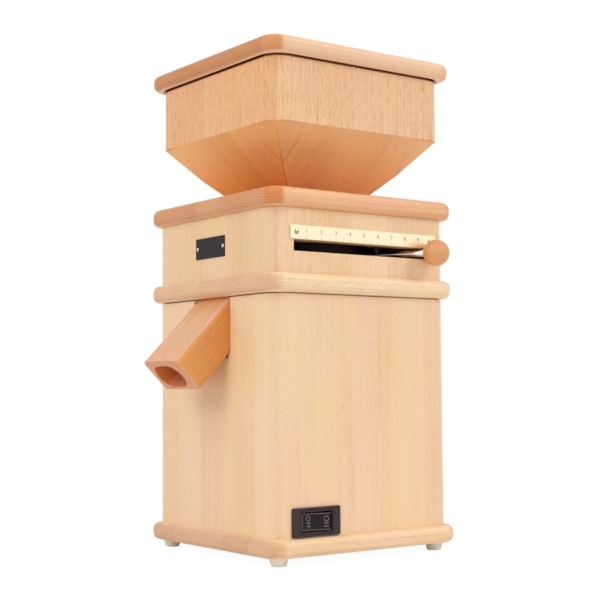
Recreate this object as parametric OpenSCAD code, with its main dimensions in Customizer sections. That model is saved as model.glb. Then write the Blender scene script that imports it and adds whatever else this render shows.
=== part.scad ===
// Electric grain mill with a beech casing, a square hopper and stones on an upright motor.
// Millimetres, +Z up. The origin is on the floor, in the middle between the feet.
// The spout looks along -Y. The scale, the lever and the switch are on the +X face.

/* [Casings and boards] */
// Width and depth of the lower and the upper casing
body_w = 180; // [174:1:190]
// Thickness of the casings' walls
wall = 12; // [11:0.5:13]
// Radius of the upright corners outside
corner_r = 16; // [14:0.5:18]
// Radius of the upright corners inside
inner_r = 6; // [4:0.5:8]
// How far the base, the collar and the top board stand out past the casings
overhang = 5.75; // [4:0.25:8]
// Rounding of the boards' edges
edge_r = 5.8; // [4:0.1:6.2]
// Thickness of the base board
base_t = 14.5; // [13.5:0.5:17]
// Height of the lower casing
lower_h = 188.5; // [182:0.5:200]
// Thickness of the collar board between the casings
collar_t = 15; // [14:0.5:17]
// Height of the upper casing
upper_h = 51.5; // [50:0.5:58]
// Thickness of the top board
top_t = 15; // [13.5:0.5:17]
// Height of the fine shadow groove at the top of the lower casing and of the hopper box
groove_h = 1; // [0.6:0.1:1.4]
// Depth of that groove
groove_d = 2.5; // [1.5:0.1:3]
// Diameter of the screws that hold the collar
collar_screw_d = 4; // [3.5:0.5:4.5]
// Length of those screws
collar_screw_l = 40; // [32:1:45]
// Distance of those screws from the casing's middle
collar_screw_y = 45; // [35:1:50]
// Diameter of the dowels above and below the upper casing
dowel_d = 7; // [6:0.5:8]
// Length of those dowels
dowel_l = 15; // [12:1:18]
// Distance of those dowels from the casing's faces
dowel_in = 9; // [8.5:0.5:10]

/* [Feet] */
// Height of the feet
foot_h = 6.5; // [5:0.5:9]
// Width of a foot where it meets the base
foot_top_d = 15.5; // [14:0.5:18]
// Width of a foot on the floor
foot_low_d = 11.5; // [11:0.5:13]
// Distance of the feet from the casing's face
foot_inset = 10.5; // [10:0.5:11.5]
// Depth of the screw's seat in a foot
foot_seat = 3.5; // [3:0.5:4]
// Diameter of the screws through feet and base
foot_screw_d = 4.5; // [4:0.5:4.5]
// Length of those screws
foot_screw_l = 55; // [45:1:60]

/* [Hopper] */
// Width of the hopper box
hopper_w = 176; // [170:1:184]
// Thickness of the hopper's boards, measured level
hopper_wall = 15; // [13:0.5:17]
// Height of the hopper box
hopper_h = 52.3; // [45:0.1:60]
// Height of the funnel
funnel_h = 52.7; // [46:0.1:60]
// Width of the funnel at its foot
funnel_low_w = 69; // [66:0.5:72]
// Distance from the sharp corner at which a funnel facet starts
facet_run = 34; // [29:1:39]
// Share of the funnel's height that the facets reach down
facet_share = 0.535; // [0.45:0.005:0.65]
// How far the lid stands out past the hopper
lid_overhang = 7.5; // [6:0.5:10]
// Thickness of the lid
lid_t = 14; // [13:0.5:17]
// Thickness of the board under the lid that finds the hopper's mouth
insert_t = 10; // [8:0.5:14]
// Play of that board in the hopper
insert_gap = 1; // [0.5:0.1:2]

/* [Spout] */
// Width of the spout's block
spout_w = 54; // [50:1:56]
// Height of the block, square to its axis
spout_h = 31.5; // [30:0.5:33]
// Length of the block's upper edge outside the casing
spout_l = 69.6; // [60:0.2:75]
// Place of the block's middle off the casing's middle
spout_x = 1.5; // [0:0.5:2]
// Angle of the spout under the horizontal
spout_angle = 45; // [44:0.5:46]
// Rounding of the block's long edges
spout_r = 4.5; // [3:0.5:6]
// Depth below the collar at which the block's upper face leaves the casing
spout_drop = 2.8; // [2:0.1:4]
// Width of the spout's oval bore
bore_w = 37; // [34:1:38]
// Height of the oval bore
bore_h = 23; // [21:0.5:23.5]
// Place of the bore's middle off the casing's middle
bore_x = -1.5; // [-2:0.5:0]
// Depth of the bore's middle below the block's upper face
bore_down = 17.3; // [16:0.1:17.5]
// Play of the block in the casing's notch and in the collar's pocket
spout_gap = 0.4; // [0.3:0.1:0.8]
// Room in the notch under the block
notch_room = 2.2; // [2:0.1:5]
// Diameter of the block's screws
spout_screw_d = 3; // [2.5:0.5:3]
// Length of the block's screws
spout_screw_l = 30; // [25:1:32]
// Distance of the block's screws from its sides
spout_screw_in = 3.2; // [3:0.1:3.5]
// Distance of the block's screws behind the casing's face
spout_screw_back = 21; // [19:0.5:22]

/* [Lever and scale] */
// Height of the slot's middle above the collar
slot_up = 21.8; // [21.5:0.1:22.5]
// Height of the slot
slot_h = 9.2; // [8.4:0.2:10]
// Length of the slot past the last number at either end
slot_past = 13.4; // [10:0.2:14]
// Width of the lever's rod
lever_d = 5.5; // [5:0.1:6]
// Gap between the ball knob and the scale's plane at either end of the lever's travel
knob_gap = 0.5; // [0.4:0.1:2]
// Width of the ball knob
knob_d = 22; // [20:0.5:23]
// Depth of the rod in the knob, past its middle
knob_grip = 3.5; // [2:0.5:5]
// Distance between the scale's numbers
number_pitch = 14.4; // [13.6:0.1:14.6]
// Numbers on either side of the middle one
numbers_side = 4; // [4:1:4]
// Length of the scale past the last number at either end
scale_past = 17.1; // [15:0.1:18]
// Height of the scale
scale_h = 10.8; // [9:0.2:12]
// Thickness of the scale
scale_t = 1; // [0.6:0.1:1.2]
// Distance of the scale's screws from its ends
scale_screw_in = 5.8; // [4.5:0.1:7]
// Diameter of the scale's screws
scale_screw_d = 2.4; // [2:0.1:2.6]
// Length of the scale's screws
scale_screw_l = 8; // [6:0.5:10]
// Distance of the scale above the slot
scale_gap = 0.2; // [0.1:0.1:1]

/* [Bare plate on the front] */
// Length of the plate
plate_l = 43.2; // [36:0.2:50]
// Height of the plate
plate_h = 17; // [14:0.5:20]
// Thickness of the plate
plate_t = 0.8; // [0.6:0.1:1.2]
// Height of the plate's middle above the collar
plate_up = 26.3; // [23:0.1:30]
// Distance of the pins from the plate's ends
plate_pin_in = 2.4; // [2.2:0.1:4]
// Diameter of the pins
plate_pin_d = 1.6; // [1.2:0.1:1.8]
// Length of the pins
plate_pin_l = 5; // [4:0.5:8]

/* [Switch] */
// Length of the switch's frame
switch_l = 45.7; // [44:0.1:48]
// Height of the switch's frame
switch_h = 22.4; // [21:0.1:24]
// Thickness of the frame outside the casing
bezel_t = 1.8; // [1.4:0.1:2.4]
// Distance of the frame from the casing's front face
switch_in = 15.3; // [15.2:0.1:18]
// Height of the frame's lower edge above the base
switch_lift = 0.65; // [0.3:0.05:3]
// Rounding of the frame's corners
bezel_r = 1.4; // [0.8:0.1:2]
// Step from the frame's edge to the casing's cut-out
bezel_step = 1.5; // [1:0.1:2]
// Length of the rocker
rocker_l = 27.6; // [26:0.1:29]
// Height of the rocker
rocker_h = 13.2; // [12:0.1:14]
// Tilt of the rocker to either side
rocker_tilt = 9; // [7:0.5:10]
// Gap between the rocker and its opening
rocker_gap = 1.1; // [0.4:0.05:1.4]
// Depth of the switch's body behind the face
switch_depth = 22; // [20:0.5:24]

/* [Stones] */
// Play of the upper stone in its carrier
stone_play = 0.3; // [0.2:0.05:0.5]
// Diameter of the stones' eye
eye_d = 30; // [28.5:0.5:32]
// Thickness of the runner stone
runner_t = 11.5; // [11:0.1:12]
// Thickness of the fixed stone
bedstone_t = 12; // [10:0.5:13]
// Gap between the stones with the lever at the coarse end
coarse_gap = 1; // [0.9:0.05:1.4]
// Rise of the upper stone for one full turn of the ring nut
thread_lead = 3; // [2:0.1:4]

/* [Stone carrier and ring nut] */
// Thickness of the carrier's skirt
skirt_t = 6.7; // [5:0.1:8]
// Play of the thread
thread_gap = 0.1; // [0.05:0.01:0.1]
// Thickness of the ring nut's wall
nut_wall = 10; // [8:0.5:11]
// Height of the ring nut
nut_h = 12.2; // [11:0.1:12.6]
// Play of the ring nut under and over itself
nut_play = 0.25; // [0.15:0.05:0.4]
// Thickness of the carrier's plate
carrier_t = 5; // [4:0.5:6]
// Height of the carrier's plate above the ring nut
carrier_rise = 1.6; // [1.2:0.1:2.2]
// Diameter of the guide pins
pin_d = 5; // [4:0.5:5.5]
// Distance of the guide pins from the axis
pin_at = 38; // [36:0.5:40]
// Depth of the guide pins in the top board
pin_grip = 8; // [6:0.5:9]
// Thickness of the plate that keeps the ring nut down
retainer_t = 2.5; // [2:0.1:3]
// Diameter of its posts
post_d = 7; // [6:0.5:8]
// Gap between the ring nut and the posts
post_gap = 1.5; // [1:0.1:2]
// How far the plate reaches out past the posts
post_edge = 1.5; // [1:0.1:2]
// Distance of the posts from the edge of the bowl's flange
post_in = 9; // [8.5:0.5:10]

/* [Bowl and hub] */
// How far the ring nut reaches out past the bowl's rim
rim_step = 0.5; // [0.3:0.1:1]
// Thickness of the bowl's wall
bowl_wall = 5; // [4:0.5:5.5]
// Thickness of the bowl's floor
floor_t = 4; // [3:0.5:4.5]
// Gap between the bowl's flange and the casing's inside
flange_gap = 2; // [1.5:0.1:3]
// Thickness of the flange
flange_t = 4; // [3:0.5:5]
// Distance of the wipers above the floor
wiper_gap = 0.6; // [0.4:0.1:1]
// Thickness of the wipers
wiper_t = 1.4; // [1:0.1:1.6]
// Thickness of the hub's plate
hub_t = 3.5; // [3:0.1:4]
// Diameter of the hub's boss below its plate
boss_d = 24; // [22:0.5:26]
// Length of that boss
boss_l = 12; // [10:0.5:14]

/* [Motor] */
// Diameter of the motor's drum
drum_d = 104; // [100:1:108]
// Room between the fan's cover and the base
motor_lift = 13; // [10:0.5:20]
// Thickness of the drum
drum_t = 2; // [1.5:0.1:3]
// Width of the end shields past the middle of the long bolts
shield_edge = 6; // [5.5:0.5:8]
// Thickness of the end shields
shield_t = 7; // [6:0.5:9]
// Length of the sleeves that carry the motor under the collar
sleeve_l = 37.5; // [34:0.5:40]
// Distance of the long bolts from the flange's edge
bolt_in = 5.3; // [5.2:0.1:6]
// Diameter of the long bolts
bolt_d = 6; // [5:0.5:6]
// Outside diameter of the bearings
bearing_od = 35; // [32:1:36]
// Height of the bearings
bearing_h = 11; // [10:0.5:12]
// Diameter of the shaft in the bearings
shaft_d = 15; // [14.5:0.1:15]
// Diameter of the shaft in the hub
shaft_top_d = 14; // [12:0.5:14]
// Height of the stator's stack
stack_h = 46; // [40:1:50]
// Diameter of the rotor
rotor_d = 61; // [56:0.5:64]
// Gap between the rotor and the stator
air_gap = 0.5; // [0.4:0.05:0.8]
// Gap between the fan and its cover
fan_gap = 3.8; // [2:0.1:6]
// Height of the fan
fan_h = 10; // [8:0.5:11]
// Diameter of the fan's cover
cover_d = 100; // [98:0.5:104]
// Height of the fan's cover
cover_h = 26; // [24:0.5:28]
// Thickness of the fan's cover
cover_t = 1.2; // [1:0.1:2]

/* [Electrics] */
// Diameter of the run capacitor
cap_d = 30; // [26:1:30]
// Length of the run capacitor
cap_l = 60; // [50:1:64]
// Length of the terminal block
block_l = 36; // [30:1:40]
// Depth of the terminal block
block_t = 12; // [10:0.5:14]
// Height of the terminal block
block_h = 20; // [16:0.5:24]
// Height of the terminal block above the base
block_up = 84; // [78:1:90]
// Diameter of the inner wires
wire_d = 3.2; // [2.4:0.1:3.6]
// Place of the cord gland along the rear face
gland_x = -40; // [-44:1:-36]
// Height of the cord gland above the base
gland_up = 24; // [22:1:28]
// Diameter of the gland's barrel
gland_d = 16; // [15:0.5:18]
// Length of the gland's collar outside the casing
gland_flange_l = 4; // [3:0.5:5]
// Length of the gland's nose past its collar
gland_nose_l = 8; // [6:0.5:10]
// Length of the gland inside the casing
gland_tail_l = 9; // [8:0.5:12]
// Diameter of the hole for the cord
cord_d = 7.5; // [6:0.5:8]

/* [Hidden] */

$fn = 64;
hull_fn = 32;    // roundness of what hull() joins
eps = 0.01;      // overshoot of cuts that meet a face
fit = 0.05;      // radial play of screws, dowels and seats
shim = 0.03;     // radial play of turned seats and of the shaft in its bearings
glue_line = 0.02; // half the glue joint between mitred boards

// heights of the boards and casings
base_z = foot_h;
lower_z = base_z + base_t;
collar_z = lower_z + lower_h;
upper_z = collar_z + collar_t;
top_z = upper_z + upper_h;
funnel_z = top_z + top_t;
box_z = funnel_z + funnel_h;
lid_z = box_z + hopper_h;
board_w = body_w + 2 * overhang;
lid_w = hopper_w + 2 * lid_overhang;
face = body_w / 2;
inside = face - wall;
foot_at = face - foot_inset;
dowel_at = face - dowel_in;

// flange, posts, ring nut, thread, stones and bowl, from the casing's inside inwards
flange_d = 2 * (inside - flange_gap);
bolt_at = (flange_d / 2 - bolt_in) / sqrt(2);
post_at = flange_d / 2 - post_in;
retainer_d = 2 * (post_at + post_d / 2 + post_edge);
nut_d = 2 * (post_at - post_d / 2 - post_gap);
thread_d = nut_d - 2 * nut_wall;
stone_d = thread_d - 2 * skirt_t - 2 * stone_play;
bowl_d = nut_d - 2 * bowl_wall - 2 * rim_step;
shield_w = 2 * (bolt_at + shield_edge);

// lever, ring nut and stone carrier
slot_z = upper_z + slot_up;
last_number = numbers_side * number_pitch;
slot_l = 2 * (last_number + slot_past);
scale_l = 2 * (last_number + scale_past);
rest_angle = atan(last_number / face);
lever_l = (face + scale_t + knob_gap + knob_d / 2) / cos(rest_angle);
nut_z = slot_z - nut_h / 2;
nut_top = nut_z + nut_h;
bowl_rim_z = nut_z - nut_play;
retainer_z = nut_top + nut_play;
carrier_z = nut_top + carrier_rise;
carrier_top = carrier_z + carrier_t;
skirt_low = carrier_z - bedstone_t + 1.5;
cup_r = 20;
cup_wall = 4;
cup_h = 7;

// stones, hub and bowl
bedstone_z = carrier_z - bedstone_t;
runner_top = bedstone_z - coarse_gap;
runner_z = runner_top - runner_t;
hub_z = runner_z - hub_t;
wiper_z = hub_z - wiper_t;
floor_top = wiper_z - wiper_gap;
floor_z = floor_top - floor_t;
eye_r = eye_d / 2;
hub_spigot_d = eye_d - 1;
hub_spigot_top = runner_top - 4;
hub_low = hub_z - boss_l;
shaft_top = hub_spigot_top - 1;
hub_bolt_d = 6;
washer_d = 24;
washer_t = 1.5;
seal_d = boss_d + 8;

// spout: x, y, z of the middle of its upper face where that leaves the casing
spout_start = [spout_x, -face, collar_z - spout_drop];
outlet_front = bowl_d / 2 - 0.2;
outlet_back = 38;

// funnel
slope = (hopper_w - funnel_low_w) / 2 / funnel_h;
throat_top_r = funnel_low_w / 2 - hopper_wall;
inlet_r = 16;
throat_low_r = inlet_r + 1.5;
inlet_wall = 2.5;
inlet_cone_h = 6;
inlet_flange_t = 2.5;

// motor
shield_top_z = collar_z - sleeve_l;
drum_top = shield_top_z - shield_t;
drum_l = lower_h - sleeve_l - 2 * shield_t - cover_h - motor_lift;
drum_z = drum_top - drum_l;
shield_low_z = drum_z - shield_t;
stack_z = drum_z + (drum_l - stack_h) / 2;
bearing_lip = 2;
bearing_seat_r = bearing_od / 2 + 4.5;
fan_top = shield_low_z + shield_t - bearing_h - bearing_lip - 2;
fan_z = fan_top - fan_h;
fan_d = cover_d - 2 * cover_t - 2 * fan_gap;
shaft_low = fan_z + 1;
rotor_bore_d = shaft_d + 3;
coil_h = 15;
cover_z = shield_low_z - cover_h;

// electrics
gland_z = lower_z + gland_up;
cap_y = inside - 4.5 - cap_d / 2;
cap_z = (collar_z + shield_top_z) / 2 - 0.75;
block_at = [-5 * block_l / 6, inside - block_t, lower_z + block_up];
block_size = [block_l, block_t, block_h];
switch_y = switch_in + switch_l / 2 - face;
switch_z = lower_z + switch_lift + switch_h / 2;
rocker_pivot_x = face - 6;
rocker_face = 6.8;
pivot_d = 3;
pivot_l = rocker_h + 2 * rocker_gap + 1.4;

// --- shared shapes ---

// flat outline of a square with round corners, from true arcs
module rounded_square(w, d, r) {
    square([w - 2 * r, d], center = true);
    square([w, d - 2 * r], center = true);
    if (r > 0) for (x = [-1, 1], y = [-1, 1])
        translate([x * (w / 2 - r), y * (d / 2 - r)]) circle(r);
}

// board with round corners and rounded edges
module board(w, t) {
    hull() for (x = [-1, 1], y = [-1, 1])
        translate([x * (w / 2 - corner_r), y * (w / 2 - corner_r), 0])
            rotate_extrude($fn = hull_fn) board_corner(t);
}

// half section of a board's corner
module board_corner(t) {
    square([corner_r - edge_r, t]);
    translate([0, edge_r]) square([corner_r, t - 2 * edge_r]);
    for (z = [edge_r, t - edge_r])
        translate([corner_r - edge_r, z]) circle(edge_r, $fn = hull_fn);
}

// square tube of a casing, with the shadow groove at its top when wanted
module casing(w, wall_t, h, groove, r_in) {
    linear_extrude(h - groove) difference() {
        rounded_square(w, w, corner_r);
        rounded_square(w - 2 * wall_t, w - 2 * wall_t, r_in);
    }
    if (groove > 0)
        translate([0, 0, h - groove]) linear_extrude(groove) difference() {
            rounded_square(w - 2 * groove_d, w - 2 * groove_d, corner_r - groove_d);
            rounded_square(w - 2 * wall_t, w - 2 * wall_t, r_in);
        }
}

// cuts a square frame of the hopper into its four mitred boards
module four_boards() {
    for (k = [0:3]) intersection() {
        children();
        rotate(90 * k) translate([0, 0, funnel_z - 1]) linear_extrude(lid_z - funnel_z + 2)
            polygon([[glue_line * sqrt(2), 0], [hopper_w, hopper_w - glue_line * sqrt(2)],
                [hopper_w, glue_line * sqrt(2) - hopper_w]]);
    }
}

module at_corners(d) {
    for (x = [-1, 1], y = [-1, 1]) translate([x * d, y * d, 0]) children();
}

module ring(r_in, r_out, h) {
    difference() {
        cylinder(r = r_out, h = h);
        translate([0, 0, -eps]) cylinder(r = r_in, h = h + 2 * eps);
    }
}

// countersunk wood screw pointing down from the origin
module countersunk(d, l) {
    translate([0, 0, -l]) cylinder(d = d, h = l);
    translate([0, 0, -d / 2]) cylinder(d1 = d, d2 = 2 * d, h = d / 2);
}

// hole for that screw
module countersunk_hole(d, l) {
    translate([0, 0, -l - eps]) cylinder(d = d + 2 * fit, h = l + 2 * eps);
    translate([0, 0, -d / 2 - fit]) cylinder(d1 = d, d2 = 2 * d + 4 * fit, h = d / 2 + 2 * fit);
}

// round tube along a list of points; ref is a direction that no stretch runs along
module tube(points, r, sides, ref) {
    n = len(points);
    function way(i) = points[min(i + 1, n - 1)] - points[max(i - 1, 0)];
    function unit(v) = v / norm(v);
    function side_of(i) = unit(cross(way(i), ref));
    function up_of(i) = unit(cross(side_of(i), way(i)));
    rings = [for (i = [0:n - 1], k = [0:sides - 1])
        points[i] + r * (cos(360 * k / sides) * side_of(i) + sin(360 * k / sides) * up_of(i))];
    walls = [for (i = [0:n - 2], k = [0:sides - 1])
        let (a = i * sides + k, b = i * sides + (k + 1) % sides)
        [a, b, b + sides, a + sides]];
    ends = [[for (k = [sides - 1:-1:0]) k], [for (k = [0:sides - 1]) (n - 1) * sides + k]];
    polyhedron(rings, concat(walls, ends), convexity = 6);
}

// puts a child into the spout's frame: X across, Y down from the upper face, Z up the axis
module in_spout_frame() {
    translate(spout_start) rotate([spout_angle - 90, 0, 0]) children();
}

// flat outline of the oval bore, in the spout's frame
module bore_outline() {
    bore_r = bore_h / 2;
    translate([bore_x - spout_x, bore_down]) {
        square([bore_w - bore_h, bore_h], center = true);
        for (s = [-1, 1]) translate([s * (bore_w / 2 - bore_r), 0]) circle(bore_r);
    }
}

// --- base and feet ---

module base_plate() {
    vent_rings = [[18, 6], [34, 12]];
    color("burlywood") difference() {
        translate([0, 0, base_z]) board(board_w, base_t);
        at_corners(foot_at) translate([0, 0, base_z - eps])
            cylinder(d = foot_screw_d + 2 * fit, h = base_t + 2 * eps);
        for (vent = vent_rings, k = [0:vent[1] - 1])
            rotate(360 * k / vent[1]) translate([vent[0], 0, base_z - eps])
                cylinder(d = 10, h = base_t + 2 * eps, $fn = 32);
    }
}

module feet() {
    color("ivory") at_corners(foot_at) difference() {
        cylinder(d1 = foot_low_d, d2 = foot_top_d, h = foot_h);
        translate([0, 0, -eps]) cylinder(d = foot_screw_d + 2 * fit, h = foot_h + 2 * eps);
        translate([0, 0, -eps]) cylinder(d = 2 * foot_screw_d, h = foot_seat);
    }
}

module foot_screws() {
    color("silver") at_corners(foot_at) {
        translate([0, 0, foot_seat - 1]) cylinder(d = foot_screw_d, h = foot_screw_l + 1);
        translate([0, 0, foot_seat - 2]) cylinder(d = 2 * foot_screw_d - 4 * fit, h = 2);
    }
}

// --- wooden body ---

module at_collar_screws() {
    for (x = [-1, 1], y = [-1, 1])
        translate([x * (face - wall / 2), y * collar_screw_y, 0]) children();
}

module lower_casing() {
    color("wheat") difference() {
        translate([0, 0, lower_z]) casing(body_w, wall, lower_h, groove_h, inner_r);
        spout_notch();
        translate([face - wall / 2, switch_y, switch_z])
            cube([wall + 2 * eps, switch_l - 2 * bezel_step, switch_h - 2 * bezel_step],
                center = true);
        translate([gland_x, face + eps, gland_z]) rotate([90, 0, 0])
            cylinder(d = gland_d + 2 * fit, h = wall + 2 * eps);
        at_corners(foot_at) translate([0, 0, lower_z - eps])
            cylinder(d = foot_screw_d + 2 * fit, h = foot_seat + foot_screw_l - lower_z + 1);
        at_collar_screws() translate([0, 0, upper_z - collar_screw_l - 1])
            cylinder(d = collar_screw_d + 2 * fit, h = collar_screw_l);
        rear_vents();
    }
}

// notch in the front wall for the spout, open at the top, with sloped lower corners
module spout_notch() {
    low = spout_start[2] - spout_h / cos(spout_angle) - notch_room;
    half = spout_w / 2 + spout_gap;
    bevel = 6;
    translate([spout_x, -inside + eps, 0]) rotate([90, 0, 0]) linear_extrude(wall + 2 * eps)
        polygon([[-half, collar_z + eps], [-half, low + bevel], [-half + bevel * 0.65, low],
            [half - bevel * 0.65, low], [half, low + bevel], [half, collar_z + eps]]);
}

// air slots in the rear wall, under the collar
module rear_vents() {
    rows = 5;
    vent_l = 32;
    vent_w = 5;
    for (k = [0:rows - 1], s = [-1, 1])
        translate([s * (vent_l / 2 + 4), face - wall / 2, collar_z - 32 - 11 * k])
            cube([vent_l, wall + 2 * eps, vent_w], center = true);
}

module collar() {
    color("burlywood") difference() {
        translate([0, 0, collar_z]) board(board_w, collar_t);
        translate([0, 0, collar_z - eps])
            cylinder(d = bowl_d + 2 * bowl_wall + 2, h = collar_t + 2 * eps);
        spout_pocket();
        at_corners(bolt_at) translate([0, 0, collar_z - eps])
            cylinder(d = bolt_d + 4 * fit, h = collar_t + 2 * eps);
        at_collar_screws() translate([0, 0, upper_z])
            countersunk_hole(collar_screw_d, collar_t + 2 * eps);
        at_spout_screws() countersunk_hole(spout_screw_d, collar_t);
        at_corners(dowel_at) translate([0, 0, upper_z]) dowel_hole();
    }
}

// pocket under the collar that takes the head of the spout's block
module spout_pocket() {
    half = spout_w / 2 + spout_gap;
    front = face - spout_drop / tan(spout_angle) + 1.5 * spout_gap;
    translate([spout_x - half, -front, collar_z - eps])
        cube([2 * half, front - outlet_back, floor_z - collar_z + spout_gap]);
}

module at_spout_screws() {
    for (x = [-1, 1])
        translate([spout_x + x * (spout_w / 2 - spout_screw_in), spout_screw_back - face, upper_z])
            children();
}

module collar_screws() {
    color("silver") at_collar_screws() translate([0, 0, upper_z])
        countersunk(collar_screw_d, collar_screw_l);
}

module upper_casing() {
    color("wheat") difference() {
        translate([0, 0, upper_z]) casing(body_w, wall, upper_h, 0, inner_r);
        translate([face - wall / 2, 0, slot_z])
            cube([wall + 2 * eps, slot_l, slot_h], center = true);
        for (s = [-1, 1]) translate([face, s * scale_screw_y(), scale_mid_z()])
            rotate([0, 90, 0]) translate([0, 0, -scale_screw_l])
                cylinder(d = scale_screw_d + 2 * fit, h = scale_screw_l + eps);
        for (s = [-1, 1]) translate([s * plate_pin_x(), -face, plate_mid_z()])
            rotate([90, 0, 0]) translate([0, 0, -plate_pin_l])
                cylinder(d = plate_pin_d + 2 * fit, h = plate_pin_l + eps);
        at_corners(dowel_at) for (z = [upper_z, top_z]) translate([0, 0, z]) dowel_hole();
    }
}

// hole for a dowel, half below and half above the origin
module dowel_hole() {
    half = dowel_l / 2 + 0.5;
    translate([0, 0, -half]) cylinder(d = dowel_d + 2 * fit, h = 2 * half);
}

function scale_mid_z() = slot_z + slot_h / 2 + scale_gap + scale_h / 2;
function scale_screw_y() = scale_l / 2 - scale_screw_in;
function plate_mid_z() = upper_z + plate_up;
function plate_pin_x() = plate_l / 2 - plate_pin_in;

module upper_dowels() {
    color("tan") at_corners(dowel_at) for (z = [upper_z, top_z])
        translate([0, 0, z - dowel_l / 2]) cylinder(d = dowel_d, h = dowel_l);
}

module top_plate() {
    color("burlywood") difference() {
        translate([0, 0, top_z]) board(board_w, top_t);
        translate([0, 0, top_z]) cylinder(r1 = throat_low_r, r2 = throat_top_r, h = top_t);
        translate([0, 0, top_z - eps]) cylinder(r = throat_low_r, h = 2 * eps);
        translate([0, 0, funnel_z - eps]) cylinder(r = throat_top_r, h = 2 * eps);
        at_corners(dowel_at) translate([0, 0, top_z]) dowel_hole();
        for (s = [-1, 1]) translate([0, s * pin_at, top_z - eps])
            cylinder(d = pin_d + 2 * fit, h = pin_grip + 2 * eps);
    }
}

// --- hopper and lid ---

// slab as thin as a sheet, from which the funnel's hulls are stretched
module sheet_at(z) {
    translate([0, 0, z]) linear_extrude(eps) children();
}

module hopper_funnel() {
    top_half = hopper_w / 2;
    low_half = funnel_low_w / 2;
    mitre = top_half - corner_r * (1 - 1 / sqrt(2));
    facet_z = box_z - facet_share * funnel_h;
    facet_half = top_half - slope * facet_share * funnel_h;
    quarter = [[top_half, facet_run - top_half], [top_half, top_half - facet_run],
        [mitre, mitre]];
    color("peru") four_boards() difference() {
        hull() {
            sheet_at(box_z - eps) polygon([for (k = [0:3], p = quarter)
                [p[0] * cos(90 * k) - p[1] * sin(90 * k),
                    p[0] * sin(90 * k) + p[1] * cos(90 * k)]]);
            sheet_at(facet_z) square(2 * facet_half, center = true);
            sheet_at(funnel_z) square(2 * low_half, center = true);
        }
        hull() {
            sheet_at(box_z + eps) square(2 * (top_half - hopper_wall + slope * eps), center = true);
            sheet_at(funnel_z - 2 * eps) square(2 * (low_half - hopper_wall), center = true);
        }
    }
}

module hopper_box() {
    color("wheat") four_boards() translate([0, 0, box_z])
        casing(hopper_w, hopper_wall, hopper_h, groove_h, 0);
}

module lid_panel() {
    color("burlywood") translate([0, 0, lid_z]) board(lid_w, lid_t);
}

module lid_insert() {
    insert_w = hopper_w - 2 * hopper_wall - 2 * insert_gap;
    color("tan") translate([0, 0, lid_z - insert_t]) linear_extrude(insert_t)
        rounded_square(insert_w, insert_w, inner_r);
}

// --- spout ---

module spout() {
    inner_l = 80;
    color("orange") difference() {
        in_spout_frame() translate([0, 0, -spout_l]) linear_extrude(spout_l + inner_l)
            difference() {
                translate([0, spout_h / 2]) rounded_square(spout_w, spout_h, spout_r);
                bore_outline();
            }
        translate([-face, -face, floor_z]) cube([body_w, body_w, 2 * face]);
        at_spout_screws() countersunk_hole(spout_screw_d, spout_screw_l + 1);
    }
}

module spout_screws() {
    color("silver") at_spout_screws() countersunk(spout_screw_d, spout_screw_l);
}

// --- scale, plate and lever ---

module scale_plate() {
    color("gold") difference() {
        translate([face, -scale_l / 2, scale_mid_z() - scale_h / 2])
            cube([scale_t, scale_l, scale_h]);
        for (s = [-1, 1]) translate([face - eps, s * scale_screw_y(), scale_mid_z()])
            rotate([0, 90, 0]) cylinder(d = scale_screw_d + 2 * fit, h = scale_t + 2 * eps);
    }
}

// round-head screw pointing along -Z from the face at the origin
module round_head(d, l, head_d, head_h) {
    translate([0, 0, -l]) cylinder(d = d, h = l + eps);
    ball_r = (head_d * head_d / 4 + head_h * head_h) / (2 * head_h);
    intersection() {
        translate([0, 0, head_h - ball_r]) sphere(ball_r);
        cylinder(d = head_d + 1, h = head_h + 1);
    }
}

module scale_screws() {
    color("silver") for (s = [-1, 1])
        translate([face + scale_t, s * scale_screw_y(), scale_mid_z()])
            rotate([0, 90, 0]) difference() {
                round_head(scale_screw_d, scale_screw_l, 1.85 * scale_screw_d, 0.8);
                translate([0, 0, 0.65]) rotate(35 * s)
                    cube([2 * scale_screw_d, 0.6, 0.6], center = true);
            }
}

module name_plate() {
    color("black") difference() {
        translate([-plate_l / 2, -face - plate_t, plate_mid_z() - plate_h / 2])
            cube([plate_l, plate_t, plate_h]);
        for (s = [-1, 1]) translate([s * plate_pin_x(), -face + eps, plate_mid_z()])
            rotate([90, 0, 0]) cylinder(d = plate_pin_d + 2 * fit, h = plate_t + 2 * eps);
    }
}

module name_plate_pins() {
    color("silver") for (s = [-1, 1])
        translate([s * plate_pin_x(), -face - plate_t, plate_mid_z()])
            rotate([90, 0, 0]) round_head(plate_pin_d, plate_pin_l, 1.9 * plate_pin_d, 0.6);
}

module lever_rod() {
    rod_start = thread_d / 2 + 1;
    color("lightgray") translate([0, 0, slot_z]) rotate(rest_angle)
        translate([rod_start, 0, 0]) rotate([0, 90, 0])
            cylinder(d = lever_d, h = lever_l + knob_grip - rod_start);
}

module lever_knob() {
    color("sandybrown") translate([0, 0, slot_z]) rotate(rest_angle)
        translate([lever_l, 0, 0]) difference() {
            sphere(d = knob_d, $fn = 96);
            translate([-knob_d, 0, 0]) rotate([0, 90, 0])
                cylinder(d = lever_d + 2 * fit, h = knob_d + knob_grip + fit);
        }
}

module adjusting_ring() {
    color("silver") difference() {
        translate([0, 0, nut_z]) ring(thread_d / 2 + thread_gap, nut_d / 2, nut_h);
        translate([0, 0, slot_z]) rotate(rest_angle) translate([thread_d / 2 - 1, 0, 0])
            rotate([0, 90, 0]) cylinder(d = lever_d + 2 * fit, h = nut_d / 2);
    }
}

module ring_retainer() {
    color("gray") difference() {
        translate([0, 0, retainer_z]) ring(thread_d / 2 + 1.5, retainer_d / 2, retainer_t);
        at_posts() translate([0, 0, retainer_z - eps])
            cylinder(d = post_d / 2 + 2 * fit, h = retainer_t + 2 * eps);
    }
}

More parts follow.
